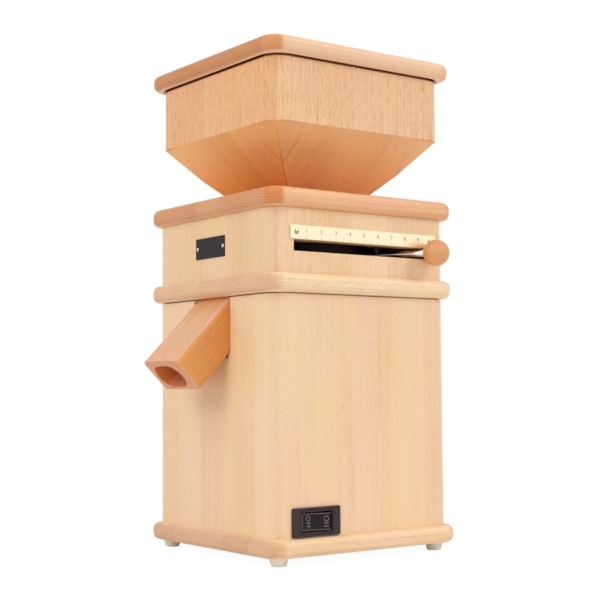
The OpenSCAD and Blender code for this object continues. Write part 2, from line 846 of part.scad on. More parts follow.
module at_posts() {
    for (turn = [60, 180, 300]) rotate(turn) translate([post_at, 0, 0]) children();
}

module retainer_posts() {
    head_h = 2;
    flange_top = upper_z + flange_t;
    color("silver") at_posts() {
        translate([0, 0, flange_top]) cylinder(d = post_d, h = retainer_z - flange_top);
        translate([0, 0, upper_z]) cylinder(d = post_d / 2, h = retainer_z + retainer_t - upper_z);
        translate([0, 0, retainer_z + retainer_t]) cylinder(d = post_d, h = head_h);
    }
}

// --- upper stone and its carrier ---

module stone_carrier() {
    seat_r = stone_d / 2 + stone_play;
    color("silver") difference() {
        rotate_extrude() polygon([[eye_r, carrier_z], [seat_r, carrier_z], [seat_r, skirt_low],
            [thread_d / 2, skirt_low], [thread_d / 2, carrier_top],
            [cup_r + cup_wall, carrier_top], [cup_r + cup_wall, carrier_top + cup_h],
            [cup_r, carrier_top + cup_h], [cup_r, carrier_top]]);
        for (s = [-1, 1]) translate([0, s * pin_at, carrier_z - eps])
            cylinder(d = pin_d + 4 * fit, h = carrier_t + 2 * eps);
    }
}

module guide_pins() {
    low = carrier_z + 1.5;
    color("silver") for (s = [-1, 1]) translate([0, s * pin_at, low])
        cylinder(d = pin_d, h = top_z + pin_grip - low);
}

module carrier_springs() {
    turns = 5;
    steps = 12;
    wire_r = 0.5;
    spring_r = pin_d / 2 + 1.5;
    low = carrier_top + wire_r + fit;
    rise = top_z - carrier_top - 2 * wire_r - 2 * fit;
    color("gray") for (s = [-1, 1]) translate([0, s * pin_at, low])
        tube([for (i = [0:turns * steps])
            [spring_r * cos(360 * i / steps), spring_r * sin(360 * i / steps),
                rise * i / turns / steps]], wire_r, 6, [0, 0, 1]);
}

module upper_stone() {
    color("lightslategray") translate([0, 0, bedstone_z]) ring(eye_r, stone_d / 2, bedstone_t);
}

module grain_inlet() {
    tube_low = carrier_top + cup_h - 4.5;
    cone_low = top_z - inlet_cone_h;
    color("silver") rotate_extrude() polygon([[throat_low_r, top_z],
        [throat_low_r + 9, top_z], [throat_low_r + 9, top_z - inlet_flange_t],
        [throat_low_r + inlet_wall, top_z - inlet_flange_t], [inlet_r + inlet_wall, cone_low],
        [inlet_r + inlet_wall, tube_low], [inlet_r, tube_low], [inlet_r, cone_low]]);
}

// --- bowl, hub and runner stone ---

module grinding_chamber() {
    bowl_r = bowl_d / 2;
    outlet_l = outlet_front - outlet_back;
    color("silver") difference() {
        union() {
            translate([0, 0, floor_z]) cylinder(r = bowl_r + bowl_wall, h = bowl_rim_z - floor_z);
            translate([0, 0, upper_z]) cylinder(d = flange_d, h = flange_t);
        }
        translate([0, 0, floor_top]) cylinder(r = bowl_r, h = bowl_rim_z - floor_top + eps);
        translate([0, 0, floor_z - eps]) cylinder(d = seal_d + 2 * fit, h = floor_t + 2 * eps);
        intersection() {
            translate([0, 0, floor_z - eps]) cylinder(r = outlet_front, h = floor_t + 2 * eps);
            translate([bore_x - bore_w / 2, -outlet_front, floor_z - eps])
                cube([bore_w, outlet_l, floor_t + 2 * eps]);
        }
        at_corners(bolt_at) translate([0, 0, upper_z - eps])
            cylinder(d = bolt_d + 4 * fit, h = flange_t + 2 * eps);
        at_posts() translate([0, 0, upper_z - eps])
            cylinder(d = post_d / 2 + 2 * fit, h = flange_t + 2 * eps);
    }
}

module shaft_seal() {
    color("dimgray") translate([0, 0, floor_z]) ring(boss_d / 2 + 0.3, seal_d / 2, floor_t);
}

module lower_stone() {
    color("lightslategray") translate([0, 0, runner_z]) ring(eye_r, stone_d / 2, runner_t);
}

module stone_hub() {
    color("silver") difference() {
        union() {
            translate([0, 0, hub_low]) cylinder(d = boss_d, h = boss_l);
            translate([0, 0, hub_z]) cylinder(d = stone_d - 2, h = hub_t);
            translate([0, 0, runner_z]) cylinder(d = hub_spigot_d, h = hub_spigot_top - runner_z);
        }
        translate([0, 0, hub_low - eps])
            cylinder(d = shaft_top_d + 2 * shim, h = shaft_top - hub_low + eps);
        translate([0, 0, shaft_top - eps]) cylinder(d = hub_bolt_d + 2 * fit, h = 2);
        key_shape(fit);
    }
}

// key between shaft and hub, grown by play for its seats
module key_shape(play) {
    key_w = 4;
    key_low = hub_low + 5;
    key_l = 14;
    translate([shaft_top_d / 2 - 2.2 - play, -key_w / 2 - play, key_low - play])
        cube([4.2 + 2 * play, key_w + 2 * play, key_l + 2 * play]);
}

module hub_key() {
    color("gray") key_shape(0);
}

module hub_bolt() {
    head_z = hub_spigot_top + washer_t;
    color("silver") {
        translate([0, 0, head_z - 20]) cylinder(d = hub_bolt_d, h = 20 + eps);
        translate([0, 0, head_z]) cylinder(d = 11.5, h = 4, $fn = 6);
    }
}

module hub_washer() {
    color("gray") translate([0, 0, hub_spigot_top])
        ring(hub_bolt_d / 2 + fit, washer_d / 2, washer_t);
}

module flour_wipers() {
    blade_w = 9;
    paddle_t = 4;
    root = boss_d / 2 + 8;
    reach = bowl_d / 2 - 1;
    color("darkgray") for (turn = [90, 210, 330]) rotate(turn) {
        translate([root, -blade_w / 2, wiper_z]) cube([reach - root - 0.4, blade_w, wiper_t]);
        translate([stone_d / 2 + 2, -paddle_t / 2, wiper_z])
            cube([reach - stone_d / 2 - 2.4, paddle_t, 6]);
    }
}

// --- motor ---

module motor_shaft() {
    hub_seat_z = collar_z - 9;
    color("silver") difference() {
        union() {
            translate([0, 0, shaft_low]) cylinder(d = shaft_d, h = hub_seat_z - shaft_low);
            translate([0, 0, drum_z + 0.3]) cylinder(d = rotor_bore_d, h = drum_l - 0.6);
            translate([0, 0, hub_seat_z]) cylinder(d = shaft_top_d, h = shaft_top - hub_seat_z);
        }
        key_shape(fit);
        translate([0, 0, shaft_top - 22]) cylinder(d = hub_bolt_d + 2 * fit, h = 22 + eps);
    }
}

module rotor_core() {
    end_ring_h = 6;
    color("slategray") {
        translate([0, 0, stack_z]) ring(rotor_bore_d / 2 + shim, rotor_d / 2, stack_h);
        for (z = [stack_z - end_ring_h, stack_z + stack_h])
            translate([0, 0, z]) ring(rotor_bore_d / 2 + 5, rotor_d / 2 - 1.5, end_ring_h);
    }
}

module stator_core() {
    slots = 24;
    bore_r = rotor_d / 2 + air_gap;
    color("dimgray") difference() {
        translate([0, 0, stack_z]) ring(bore_r, drum_d / 2 - drum_t - shim, stack_h);
        for (k = [0:slots - 1]) rotate(360 * k / slots)
            translate([bore_r - 1, -0.8, stack_z - eps]) cube([3, 1.6, stack_h + 2 * eps]);
    }
}

module stator_windings() {
    coil_in = rotor_d / 2 + 2.5;
    coil_out = drum_d / 2 - drum_t - 3;
    color("chocolate") for (z = [stack_z - coil_h, stack_z + stack_h])
        translate([0, 0, z]) rotate_extrude() translate([(coil_in + coil_out) / 2, coil_h / 2])
            rounded_square(coil_out - coil_in, coil_h, 4);
}

module motor_drum() {
    color("gray") translate([0, 0, drum_z])
        ring(drum_d / 2 - drum_t, drum_d / 2, drum_l);
}

// end shield with its bearing seat; the plate is at z = 0 and the seat points up
module end_shield() {
    seat_top = bearing_h + bearing_lip;
    difference() {
        union() {
            linear_extrude(shield_t) rounded_square(shield_w, shield_w, 8);
            cylinder(r = bearing_seat_r, h = seat_top);
        }
        translate([0, 0, -eps]) cylinder(d = bearing_od + 2 * shim, h = bearing_h + eps);
        cylinder(d = shaft_d + 2, h = seat_top + eps);
        at_corners(bolt_at) translate([0, 0, -eps])
            cylinder(d = bolt_d + 4 * fit, h = shield_t + 2 * eps);
    }
}

module motor_top_shield() {
    color("silver") translate([0, 0, drum_top]) end_shield();
}

module motor_bottom_shield() {
    color("silver") translate([0, 0, drum_z]) mirror([0, 0, 1]) end_shield();
}

// ball bearing with the grooves of its two seals
module ball_bearing() {
    in_r = shaft_d / 2 + shim;
    out_r = bearing_od / 2;
    difference() {
        ring(in_r, out_r, bearing_h);
        for (z = [-eps, bearing_h - 0.5])
            translate([0, 0, z]) ring(in_r + 2.2, out_r - 2.2, 0.5 + eps);
    }
}

module upper_bearing() {
    color("silver") translate([0, 0, drum_top]) ball_bearing();
}

module lower_bearing() {
    color("silver") translate([0, 0, drum_z - bearing_h]) ball_bearing();
}

module cooling_fan() {
    blades = 8;
    hub_r = 11;
    plate_h = 1.5;
    color("dimgray") difference() {
        union() {
            translate([0, 0, fan_z]) cylinder(r = hub_r, h = fan_h);
            translate([0, 0, fan_top - plate_h]) cylinder(d = fan_d, h = plate_h);
            for (k = [0:blades - 1]) rotate(360 * k / blades)
                translate([hub_r - 1, -0.8, fan_z])
                    cube([fan_d / 2 - hub_r, 1.6, fan_h - plate_h + eps]);
        }
        translate([0, 0, fan_z - eps]) cylinder(d = shaft_d + 2 * shim, h = fan_h + 2 * eps);
    }
}

module fan_cover() {
    color("dimgray") difference() {
        translate([0, 0, cover_z]) cylinder(d = cover_d, h = cover_h);
        translate([0, 0, cover_z + cover_t]) cylinder(d = cover_d - 2 * cover_t, h = cover_h);
        for (k = [0:11]) rotate(30 * k) translate([33, 0, cover_z - eps])
            cylinder(r = 5, h = cover_t + 2 * eps, $fn = 32);
        for (k = [0:5]) rotate(60 * k) translate([16, 0, cover_z - eps])
            cylinder(r = 5, h = cover_t + 2 * eps, $fn = 32);
    }
}

module motor_bolts() {
    head_z = upper_z + flange_t;
    tip_z = shield_low_z - 9;
    color("silver") at_corners(bolt_at) {
        translate([0, 0, tip_z]) cylinder(d = bolt_d, h = head_z - tip_z);
        translate([0, 0, head_z]) cylinder(d = bolt_d + 4, h = 4);
    }
}

module motor_nuts() {
    nut_t = 5;
    color("silver") at_corners(bolt_at) translate([0, 0, shield_low_z - nut_t]) difference() {
        cylinder(d = bolt_d + 5.5, h = nut_t, $fn = 6);
        translate([0, 0, -eps]) cylinder(d = bolt_d + 2 * fit, h = nut_t + 2 * eps);
    }
}

module spacer_sleeves() {
    color("silver") at_corners(bolt_at) translate([0, 0, shield_top_z])
        ring(bolt_d / 2 + 2 * fit, bolt_d / 2 + 3, sleeve_l);
}

// --- electrics ---

module capacitor() {
    color("whitesmoke") translate([-cap_l / 2, cap_y, cap_z]) rotate([0, 90, 0]) {
        cylinder(d = cap_d, h = cap_l);
        translate([0, 0, -3]) cylinder(d = 8, h = 3 + eps);
    }
}

module capacitor_clip() {
    strap_w = 12;
    strap_t = 1.2;
    out_r = cap_d / 2 + strap_t;
    color("silver") difference() {
        union() {
            translate([-strap_w / 2, cap_y, cap_z]) rotate([0, 90, 0])
                cylinder(r = out_r, h = strap_w);
            translate([-strap_w / 2, cap_y + out_r - 2, cap_z - strap_w / 2])
                cube([strap_w, inside - cap_y - out_r + 2, strap_w]);
        }
        translate([-strap_w / 2 - eps, cap_y, cap_z]) rotate([0, 90, 0])
            cylinder(r = cap_d / 2 + fit, h = strap_w + 2 * eps);
    }
}

module terminal_block() {
    ways = 3;
    way_pitch = block_size[0] / ways;
    color("white") difference() {
        translate(block_at) cube(block_size);
        for (k = [0:ways - 1])
            translate(block_at + [(k + 0.5) * way_pitch, 5, -eps])
                cylinder(d = wire_d + 0.6, h = block_size[2] + 2 * eps);
    }
}

module inner_wires() {
    entry_y = block_at[1] + 5;
    block_low = block_at[2] + 4;
    block_high = block_at[2] + block_size[2] - 4;
    way_pitch = block_l / 3;
    first_x = block_at[0] + way_pitch / 2;
    middle_x = first_x + way_pitch;
    last_x = middle_x + way_pitch;
    rear = inside - 8;
    right = inside - 9;
    drum_y = sqrt(pow(drum_d / 2, 2) - pow(middle_x + wire_d / 2, 2)) + 0.3;
    leads = [
        [[gland_x, inside - 11, gland_z], [gland_x, inside - 12.5, gland_z + 7],
            [gland_x + 6, rear, gland_z + 28], [first_x - 2, rear, gland_z + 46],
            [first_x, entry_y, block_low - 6], [first_x, entry_y, block_low]],
        [[last_x, entry_y, block_low], [last_x + 1, entry_y, block_low - 5],
            [right - 45, rear, block_low - 20], [right - 19, rear - 4, block_low - 34],
            [right - 3, rear - 15, block_low - 44], [right, rear - 40, block_low - 50],
            [right, 0, block_low - 53], [right, switch_y + 27, block_low - 57],
            [right - 5, switch_y + 12, switch_z + 10], [right - 9, switch_y + 4, switch_z + 2],
            [face - switch_depth - 10.1, switch_y, switch_z]],
        [[middle_x, drum_y, drum_top - 22], [middle_x, rear - 11, drum_top - 20],
            [middle_x, rear - 5, drum_top - 24], [middle_x, entry_y, block_high + 6],
            [middle_x, entry_y, block_high]],
        [[first_x, entry_y, block_high], [first_x - 2, entry_y, block_high + 12],
            [first_x - 10, rear - 3, cap_z - 14], [-cap_l / 2 - 9, cap_y + 6, cap_z - 2],
            [-cap_l / 2 - 7, cap_y + 1, cap_z], [-cap_l / 2 - 3.5, cap_y, cap_z]]];
    color("brown") for (lead = leads) tube(lead, wire_d / 2, 8, [0.31, 0.23, 0.11]);
}

module cord_gland() {
    barrel_l = wall + gland_tail_l;
    outer_l = gland_flange_l + gland_nose_l;
    color("black") translate([gland_x, face, gland_z]) rotate([-90, 0, 0]) difference() {
        union() {
            translate([0, 0, -barrel_l]) cylinder(d = gland_d, h = barrel_l + eps);
            cylinder(d1 = gland_d + 7, d2 = gland_d + 4, h = gland_flange_l);
            cylinder(d1 = gland_d, d2 = gland_d - 3, h = outer_l);
        }
        translate([0, 0, -barrel_l - eps]) cylinder(d = cord_d, h = barrel_l + outer_l + 1);
    }
}

module gland_nut() {
    color("black") translate([gland_x, inside, gland_z]) rotate([90, 0, 0]) difference() {
        cylinder(d = gland_d + 8, h = 5, $fn = 6);
        translate([0, 0, -eps]) cylinder(d = gland_d + 2 * fit, h = 5 + 2 * eps);
    }
}

// --- switch ---

module switch_housing() {
    body_l = switch_l - 2 * bezel_step - 2 * fit;
    body_h = switch_h - 2 * bezel_step - 2 * fit;
    skin = 1.8;
    color("black") difference() {
        union() {
            translate([face, switch_y, switch_z]) rotate([0, 90, 0])
                linear_extrude(bezel_t) rounded_square(switch_h, switch_l, bezel_r);
            translate([face - switch_depth, switch_y - body_l / 2, switch_z - body_h / 2])
                cube([switch_depth + eps, body_l, body_h]);
        }
        translate([face - switch_depth + skin, switch_y - rocker_l / 2 - rocker_gap,
            switch_z - rocker_h / 2 - rocker_gap])
            cube([switch_depth + bezel_t, rocker_l + 2 * rocker_gap, rocker_h + 2 * rocker_gap]);
        translate([rocker_pivot_x, switch_y, switch_z - pivot_l / 2 - 0.2])
            cylinder(d = pivot_d + 2 * fit, h = pivot_l + 0.4);
    }
}

// outline of the rocker about its pivot: two halves that rise to their ends
module rocker_outline() {
    half = rocker_l / 2;
    rise = half * tan(rocker_tilt);
    intersection() {
        polygon([[rocker_face, 0], [rocker_face + rise, half], [-1, half], [-4.5, 4],
            [-4.5, -4], [-1, -half], [rocker_face + rise, -half]]);
        rotate(rocker_tilt) square([40, rocker_l], center = true);
        rotate(-rocker_tilt) square([40, rocker_l], center = true);
    }
}

module switch_rocker() {
    color("dimgray") translate([rocker_pivot_x, switch_y, switch_z]) {
        rotate(-rocker_tilt) translate([0, 0, -rocker_h / 2]) linear_extrude(rocker_h)
            rocker_outline();
        translate([0, 0, -pivot_l / 2]) cylinder(d = pivot_d, h = pivot_l);
    }
}

module switch_terminals() {
    blade = [8, 0.8, 6.3];
    color("goldenrod") for (y = [-9, 0, 9])
        translate([face - switch_depth - blade[0], switch_y + y - blade[1] / 2,
            switch_z - blade[2] / 2]) cube(blade);
}

base_plate();
feet();
foot_screws();
lower_casing();
collar();
collar_screws();
upper_casing();
upper_dowels();
top_plate();
hopper_funnel();
hopper_box();
lid_panel();
lid_insert();
spout();
spout_screws();
scale_plate();
scale_screws();
name_plate();
name_plate_pins();
lever_rod();
lever_knob();
adjusting_ring();
ring_retainer();
retainer_posts();
stone_carrier();
guide_pins();
carrier_springs();
upper_stone();
grain_inlet();
grinding_chamber();
shaft_seal();
lower_stone();
stone_hub();
hub_key();
hub_bolt();
hub_washer();
flour_wipers();
motor_shaft();
rotor_core();
stator_core();
stator_windings();
motor_drum();
motor_top_shield();
motor_bottom_shield();
upper_bearing();
lower_bearing();
cooling_fan();
fan_cover();
motor_bolts();
motor_nuts();
spacer_sleeves();
capacitor();
capacitor_clip();
terminal_block();
inner_wires();
cord_gland();
gland_nut();
switch_housing();
switch_rocker();
switch_terminals();
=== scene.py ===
"""Looks of a square electric grain mill in oiled beech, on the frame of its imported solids."""

import math

import bmesh
import bpy
from mathutils import Matrix, Vector
from mathutils.bvhtree import BVHTree


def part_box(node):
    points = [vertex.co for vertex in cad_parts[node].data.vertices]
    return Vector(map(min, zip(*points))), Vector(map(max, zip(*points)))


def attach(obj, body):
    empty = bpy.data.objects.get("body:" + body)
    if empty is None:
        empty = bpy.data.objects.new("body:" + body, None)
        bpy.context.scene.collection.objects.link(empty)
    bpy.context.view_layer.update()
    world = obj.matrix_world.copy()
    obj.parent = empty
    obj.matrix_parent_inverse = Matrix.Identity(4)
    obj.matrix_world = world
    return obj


bl_info = {
    "name": "Beech Grain Mill",
    "version": (1, 0, 0),
    "blender": (4, 5, 0),
    "location": "View3D > Sidebar > Grain Mill",
    "description": "Finishes, lettering and stage of an electric grain mill with a beech casing",
    "category": "Object",
}

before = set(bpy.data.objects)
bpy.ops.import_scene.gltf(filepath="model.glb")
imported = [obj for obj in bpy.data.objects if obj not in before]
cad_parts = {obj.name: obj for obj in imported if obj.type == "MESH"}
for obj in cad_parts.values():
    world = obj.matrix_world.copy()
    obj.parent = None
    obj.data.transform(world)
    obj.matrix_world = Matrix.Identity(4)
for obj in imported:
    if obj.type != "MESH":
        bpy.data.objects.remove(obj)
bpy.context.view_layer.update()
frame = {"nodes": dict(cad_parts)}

MM = 0.001
X_AXIS = (1, 0, 0)
Y_AXIS = (0, 1, 0)
Z_AXIS = (0, 0, 1)
FRONT = (0, -1, 0)
DOWN = (0, 0, -1)
SLANT = math.sqrt(0.5)  # either part of a unit vector at 45 degrees

SPOUT_LINE = -192.5 * MM  # depth of the bore's centre line in the spout's slanting block
SPOUT_BORE = (37 * MM, 23 * MM)  # width and height of the spout's bore
SPOUT_BORE_X = -1.5 * MM  # place of the bore's middle off the casing's middle
CORNER = 16 * MM  # radius of the upright corners of the casings and the hopper
ROCKER = (27.6 * MM, 13.2 * MM)  # length and height of the rocker's face
FACET_RUN = 34 * MM  # length of a sanded facet of the funnel along the hopper's lower edge
FACET_SHARE = 0.535  # share of the funnel's height that a facet takes
GAP_PAINTED_SHADOW = (0.14, 0.035, 0.004)  # tint of the painted shadow in a dark gap between two boards
SEAM_PAINTED_SHADE = (0.80, 0.66, 0.50)  # tint of a joint line between two boards, deepened by painted shade under the board above
SOAKED = (0.84, 0.55, 0.32)  # tint of a rounded corner that has drawn in more oil
HEART_ACROSS = 110 * MM  # how far the hearts of the staves scatter sideways
HEART_DEPTH = (30 * MM, 60 * MM)  # least depth of a heart behind the face, and its scatter
SWITCH_GROOVE = 2.5 * MM  # distance of the frame's painted groove shadow from the rocker
WORD_SHARE = 0.28  # distance of a word from the rocker's middle, as a share of its length
NUMBER_SHARE = 0.60  # height of the numbers' middle, as a share of the scale's height
STROKE = (0.28 * MM, 0.2 * MM)  # width of a printed stroke, and its rise over the lower edge
STROKE_POINTS = 7  # points on each rounded end of a printed stroke
BRUSHED = (2400, 60)  # how often brush lines change in a metre, across and along them
WELD = 0.002 * MM  # distance within which split corners are joined
FLOOR_SIZE = 40
CAMERA_AT = (885.79 * MM, -648.31 * MM, 138.83 * MM)
CAMERA_TURN = (53.7766575, 3.75472942, -0.390524428)  # degrees to the left, up and of roll
CAMERA_LENS = 76.69  # focal length in millimetres
CAMERA_SENSOR = 36  # width of the sensor in millimetres


def tone(red, green, blue):
    """A display colour from 0 to 255 as the linear colour that shaders hold."""
    shares = [channel / 255 for channel in (red, green, blue)]
    return tuple(s / 12.92 if s <= 0.04045 else ((s + 0.055) / 1.055) ** 2.4 for s in shares)


def middle(node):
    """The middle of a node's box."""
    low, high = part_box(node)
    return (low + high) / 2


def lean(node):
    """How far the largest face of a node that looks down and out leans from upright."""
    faces = [face for face in frame["nodes"][node].data.polygons if -0.95 < face.normal.z < -0.1]
    return math.asin(-max(faces, key=lambda face: face.area).normal.z)


# --- settings ---


def colour(name, description, red, green, blue):
    """A colour setting."""
    return bpy.props.FloatVectorProperty(
        name=name, description=description, subtype="COLOR", size=3, min=0, max=1,
        default=tone(red, green, blue))


def length(name, description, millimetres):
    """A length setting."""
    return bpy.props.FloatProperty(
        name=name, description=description, subtype="DISTANCE", unit="LENGTH",
        min=0, default=millimetres * MM)


def factor(name, description, value):
    """A setting from 0 to 1."""
    return bpy.props.FloatProperty(
        name=name, description=description, subtype="FACTOR", min=0, max=1, default=value)


def strength(name, description, value):
    """A strength of light."""
    return bpy.props.FloatProperty(name=name, description=description, min=0, default=value)


def group(kind, name, description):
    """A group of settings."""
    return bpy.props.PointerProperty(type=kind, name=name, description=description)


class BeechSettings(bpy.types.PropertyGroup):
    """The wood of the casings, boards, hopper, spout and knob."""

    casing: colour("Casing", "Upright staves of the lower casing", 243, 207, 167)
    upper: colour("Upper casing", "Upright staves of the upper casing", 243, 207, 164)
    hopper: colour("Hopper", "Upright staves of the hopper box", 238, 191, 147)
    # more orange than the other boards: painted shade of boards that look down
    funnel: colour("Funnel", "Sloping boards under the hopper", 238, 180, 123)
    lid: colour("Lid", "Board of the lid", 238, 196, 158)
    top: colour("Top board", "Board under the funnel", 240, 187, 143)
    collar: colour("Collar", "Board between the casings", 248, 218, 180)
    base: colour("Base", "Board that carries the casing", 243, 208, 170)
    spout: colour("Spout", "Block of the flour spout", 233, 180, 136)
    knob: colour("Knob", "Turned ball of the lever", 228, 164, 112)
    stave: length("Stave width", "Width of the strips that the boards are glued from", 38)
    ring: length("Ring spacing", "Distance between growth rings", 2.3)
    # the seam's dark line is a joint with painted shade, and a painted shadow under the lid
    seam: length("Seam", "Height of the dark line where two boards meet", 1.3)


class MetalSettings(bpy.types.PropertyGroup):
    """Metal parts."""

    brass: colour("Scale", "Satin brass of the numbered scale", 251, 240, 205)
    chrome: colour("Chrome", "Polished lever", 226, 226, 228)
    steel: colour("Bright steel", "Pins, screws and turned steel", 200, 200, 202)
    zinc: colour("Zinc", "Zinc plated fasteners", 186, 190, 194)
    aluminium: colour("Aluminium", "Turned castings", 186, 188, 190)
    oxide: colour("Black oxide", "Ring nut behind the slot", 46, 35, 37)
    copper: colour("Copper", "Lacquered windings", 178, 104, 58)
    sheet: colour("Core sheet", "Stacked sheets of stator and rotor", 104, 106, 110)
    paint: colour("Motor paint", "Drum of the motor", 58, 62, 66)


class FittingSettings(bpy.types.PropertyGroup):
    """Plastic, rubber, felt, stone and lettering."""

    plate: colour("Name plate", "Bare dark plate on the front", 40, 30, 32)
    plate_line: colour("Plate edge", "Darker border of the name plate", 34, 22, 18)
    frame: colour("Switch frame", "Moulded frame of the switch", 60, 43, 44)
    rocker: colour("Rocker", "Glossy rocker of the switch", 26, 19, 21)
    legend: colour("Switch words", "Words printed on the rocker", 112, 102, 104)
    number: colour("Numbers", "Ink of the scale's numbers", 112, 92, 66)
    foot: colour("Foot", "Off-white rubber of the feet", 251, 240, 224)
    stone: colour("Stone", "Bound grit of the mill stones", 176, 172, 164)
    felt: colour("Felt", "Seal round the hub", 196, 186, 170)
    black: colour("Black plastic", "Fan and cord gland", 34, 34, 36)
    white: colour("White plastic", "Capacitor and terminal block", 226, 224, 218)
    wire: colour("Wire", "Insulation of the inner wires", 116, 70, 42)
    number_h: length("Number height", "Height of the numbers on the scale", 3.0)
    number_pitch: length("Number pitch", "Distance between the numbers", 14.42)
    number_shift: length("Number shift", "Distance of the 5 from the middle to the front", 1.56)
    tick_h: length("Tick length", "Length of the strokes at the scale's lower edge", 2.0)
    word_h: length("Word height", "Height of the letters on the rocker", 4.0)
    ink: length("Ink", "Thickness of printed letters", 0.03)


class StageSettings(bpy.types.PropertyGroup):
    """Light, floor and camera."""

    key: strength("Key light", "Sun lamp from the right and behind", 1.03)
    fill: strength("Front light", "Sun lamp from the front and above", 1.20)
    sky: strength("Sky", "Even light from all sides", 0.51)
    floor_white: factor("Floor white", "Share of pure white in the floor as it is seen", 0.90)
    floor_glow: strength("Floor glow", "Strength of the white that is seen in the floor", 1.06)
    floor: colour("Floor", "Paper that the mill stands on", 250, 249, 247)


class MillSettings(bpy.types.PropertyGroup):
    """All settings of the mill."""

    wood: group(BeechSettings, "Beech", "Wood")
    metal: group(MetalSettings, "Metal", "Metals")
    fitting: group(FittingSettings, "Fittings", "Other finishes")
    stage: group(StageSettings, "Stage", "Light and camera")


# --- shaders ---


class Value:
    """A number, colour or vector in a shader; arithmetic on it adds Math nodes."""

    def __init__(self, finish, socket):
        self.finish = finish
        self.socket = socket

    def math(self, operation, *terms):
        return self.finish.math(operation, self, *terms)

    def __add__(self, other):
        return self.math("ADD", other)

    def __sub__(self, other):
        return self.math("SUBTRACT", other)

    def __rsub__(self, other):
        return self.finish.math("SUBTRACT", other, self)

    def __mul__(self, other):
        return self.math("MULTIPLY", other)

    def __truediv__(self, other):
        return self.math("DIVIDE", other)

    def __rtruediv__(self, other):
        return self.finish.math("DIVIDE", other, self)

    def __pow__(self, other):
        return self.math("POWER", other)

    def __gt__(self, other):
        return self.math("GREATER_THAN", other)

    def __abs__(self):
        return self.math("ABSOLUTE")

    __radd__ = __add__
    __rmul__ = __mul__


class Finish:
    """A material or a world in the making.

    node() adds any node, output() adds one for one of its outputs, and the rest name common ones.
    """

    def __init__(self, name, world=False):
        kinds = bpy.data.worlds if world else bpy.data.materials
        self.block = kinds.new(name)
        self.block.use_nodes = True
        self.tree = self.block.node_tree
        self.tree.nodes.clear()

    def node(self, kind, settings=None, inputs=None):
        """Adds a node: its settings first, then the values or links of its sockets."""
        node = self.tree.nodes.new("ShaderNode" + kind)
        for name, setting in (settings or {}).items():
            if name == "stops":
                self.set_stops(node.color_ramp, setting)
            else:
                setattr(node, name, setting)
        for name, value in (inputs or {}).items():
            self.feed(node.inputs[name], value)
        return node

    def set_stops(self, ramp, stops):
        """Gives a colour ramp its stops, a list of (position, colour)."""
        while len(ramp.elements) < len(stops):
            ramp.elements.new(0.5)
        for element, (position, tint) in zip(ramp.elements, stops):
            element.position = position
            element.color = (*tint, 1)

    def feed(self, socket, value):
        """Links a Value to a socket, or sets the socket to a constant."""
        if isinstance(value, Value):
            self.tree.links.new(value.socket, socket)
        elif socket.type == "RGBA" and len(value) == 3:
            socket.default_value = (*value, 1)
        else:
            socket.default_value = value

    def output(self, name, kind, settings=None, inputs=None):
        """Adds a node and gives one of its outputs."""
        return Value(self, self.node(kind, settings, inputs).outputs[name])

    def math(self, operation, *terms):
        return self.output(0, "Math", {"operation": operation}, dict(enumerate(terms)))

    def coordinates(self, kind):
        return self.output(kind, "TexCoord")

    def scaled(self, *scale):
        """The place in the object times one number, or times one number for each axis."""
        scale = scale if len(scale) == 3 else scale * 3
        place = self.coordinates("Object")
        return self.output("Vector", "VectorMath", {"operation": "MULTIPLY"}, {0: place, 1: scale})

    def split(self, vector):
        """The three parts of a vector or colour."""
        node = self.node("SeparateXYZ", {}, {0: vector})
        return [Value(self, socket) for socket in node.outputs]

    def vector(self, *parts):
        return self.output("Vector", "CombineXYZ", {}, dict(enumerate(parts)))

    def dot(self, vector, axis):
        """How far a vector reaches along an axis."""
        return self.output(
            "Value", "VectorMath", {"operation": "DOT_PRODUCT"}, {0: vector, 1: axis})

    def noise(self, vector, detail=2.0, roughness=0.5):
        """Smooth noise from 0 to 1 over a vector that is already scaled."""
        return self.output("Fac", "TexNoise", {}, {
            "Vector": vector, "Scale": 1.0, "Detail": detail, "Roughness": roughness})

    def cells(self, vector):
        """Distance to the nearest of many scattered points."""
        return self.output("Distance", "TexVoronoi", {}, {"Vector": vector, "Scale": 1.0})

    def scatter(self, number):
        """Three random numbers that stay the same for the same number."""
        return self.split(self.output(
            "Color", "TexWhiteNoise", {"noise_dimensions": "1D"}, {"W": number}))

    def smooth(self, value, low, high):
        """0 below low, 1 above high and a soft step between."""
        return self.output("Result", "MapRange", {"interpolation_type": "SMOOTHSTEP"}, {
            "Value": value, "From Min": low, "From Max": high})

    def ramp(self, value, *stops):
        return self.output("Color", "ValToRGB", {"stops": stops}, {"Fac": value})

    def mix(self, share, first, second, blend="MIX"):
        """Mixes two colours. 6 and 7 are the Mix node's colour inputs, and 2 is its output."""
        return self.output(2, "Mix", {"data_type": "RGBA", "blend_type": blend}, {
            "Factor": share, 6: first, 7: second})

    def bump(self, height, distance, share):
        return self.output("Normal", "Bump", {}, {
            "Height": height, "Distance": distance, "Strength": share})

    def end(self, look, kind="OutputMaterial"):
        """Ends in a shader and gives the finished material or world."""
        self.node(kind, {}, {"Surface": look})
        return self.block

    def surface(self, inputs):
        """Ends in a Principled shader with these sockets."""
        return self.end(self.output("BSDF", "BsdfPrincipled", {}, inputs))


def shade(base, *shares):
    """A colour times one number, or times one number for each channel, kept below white."""
    shares = shares if len(shares) == 3 else shares * 3
    return tuple(min(0.97, channel * share) for channel, share in zip(base, shares))


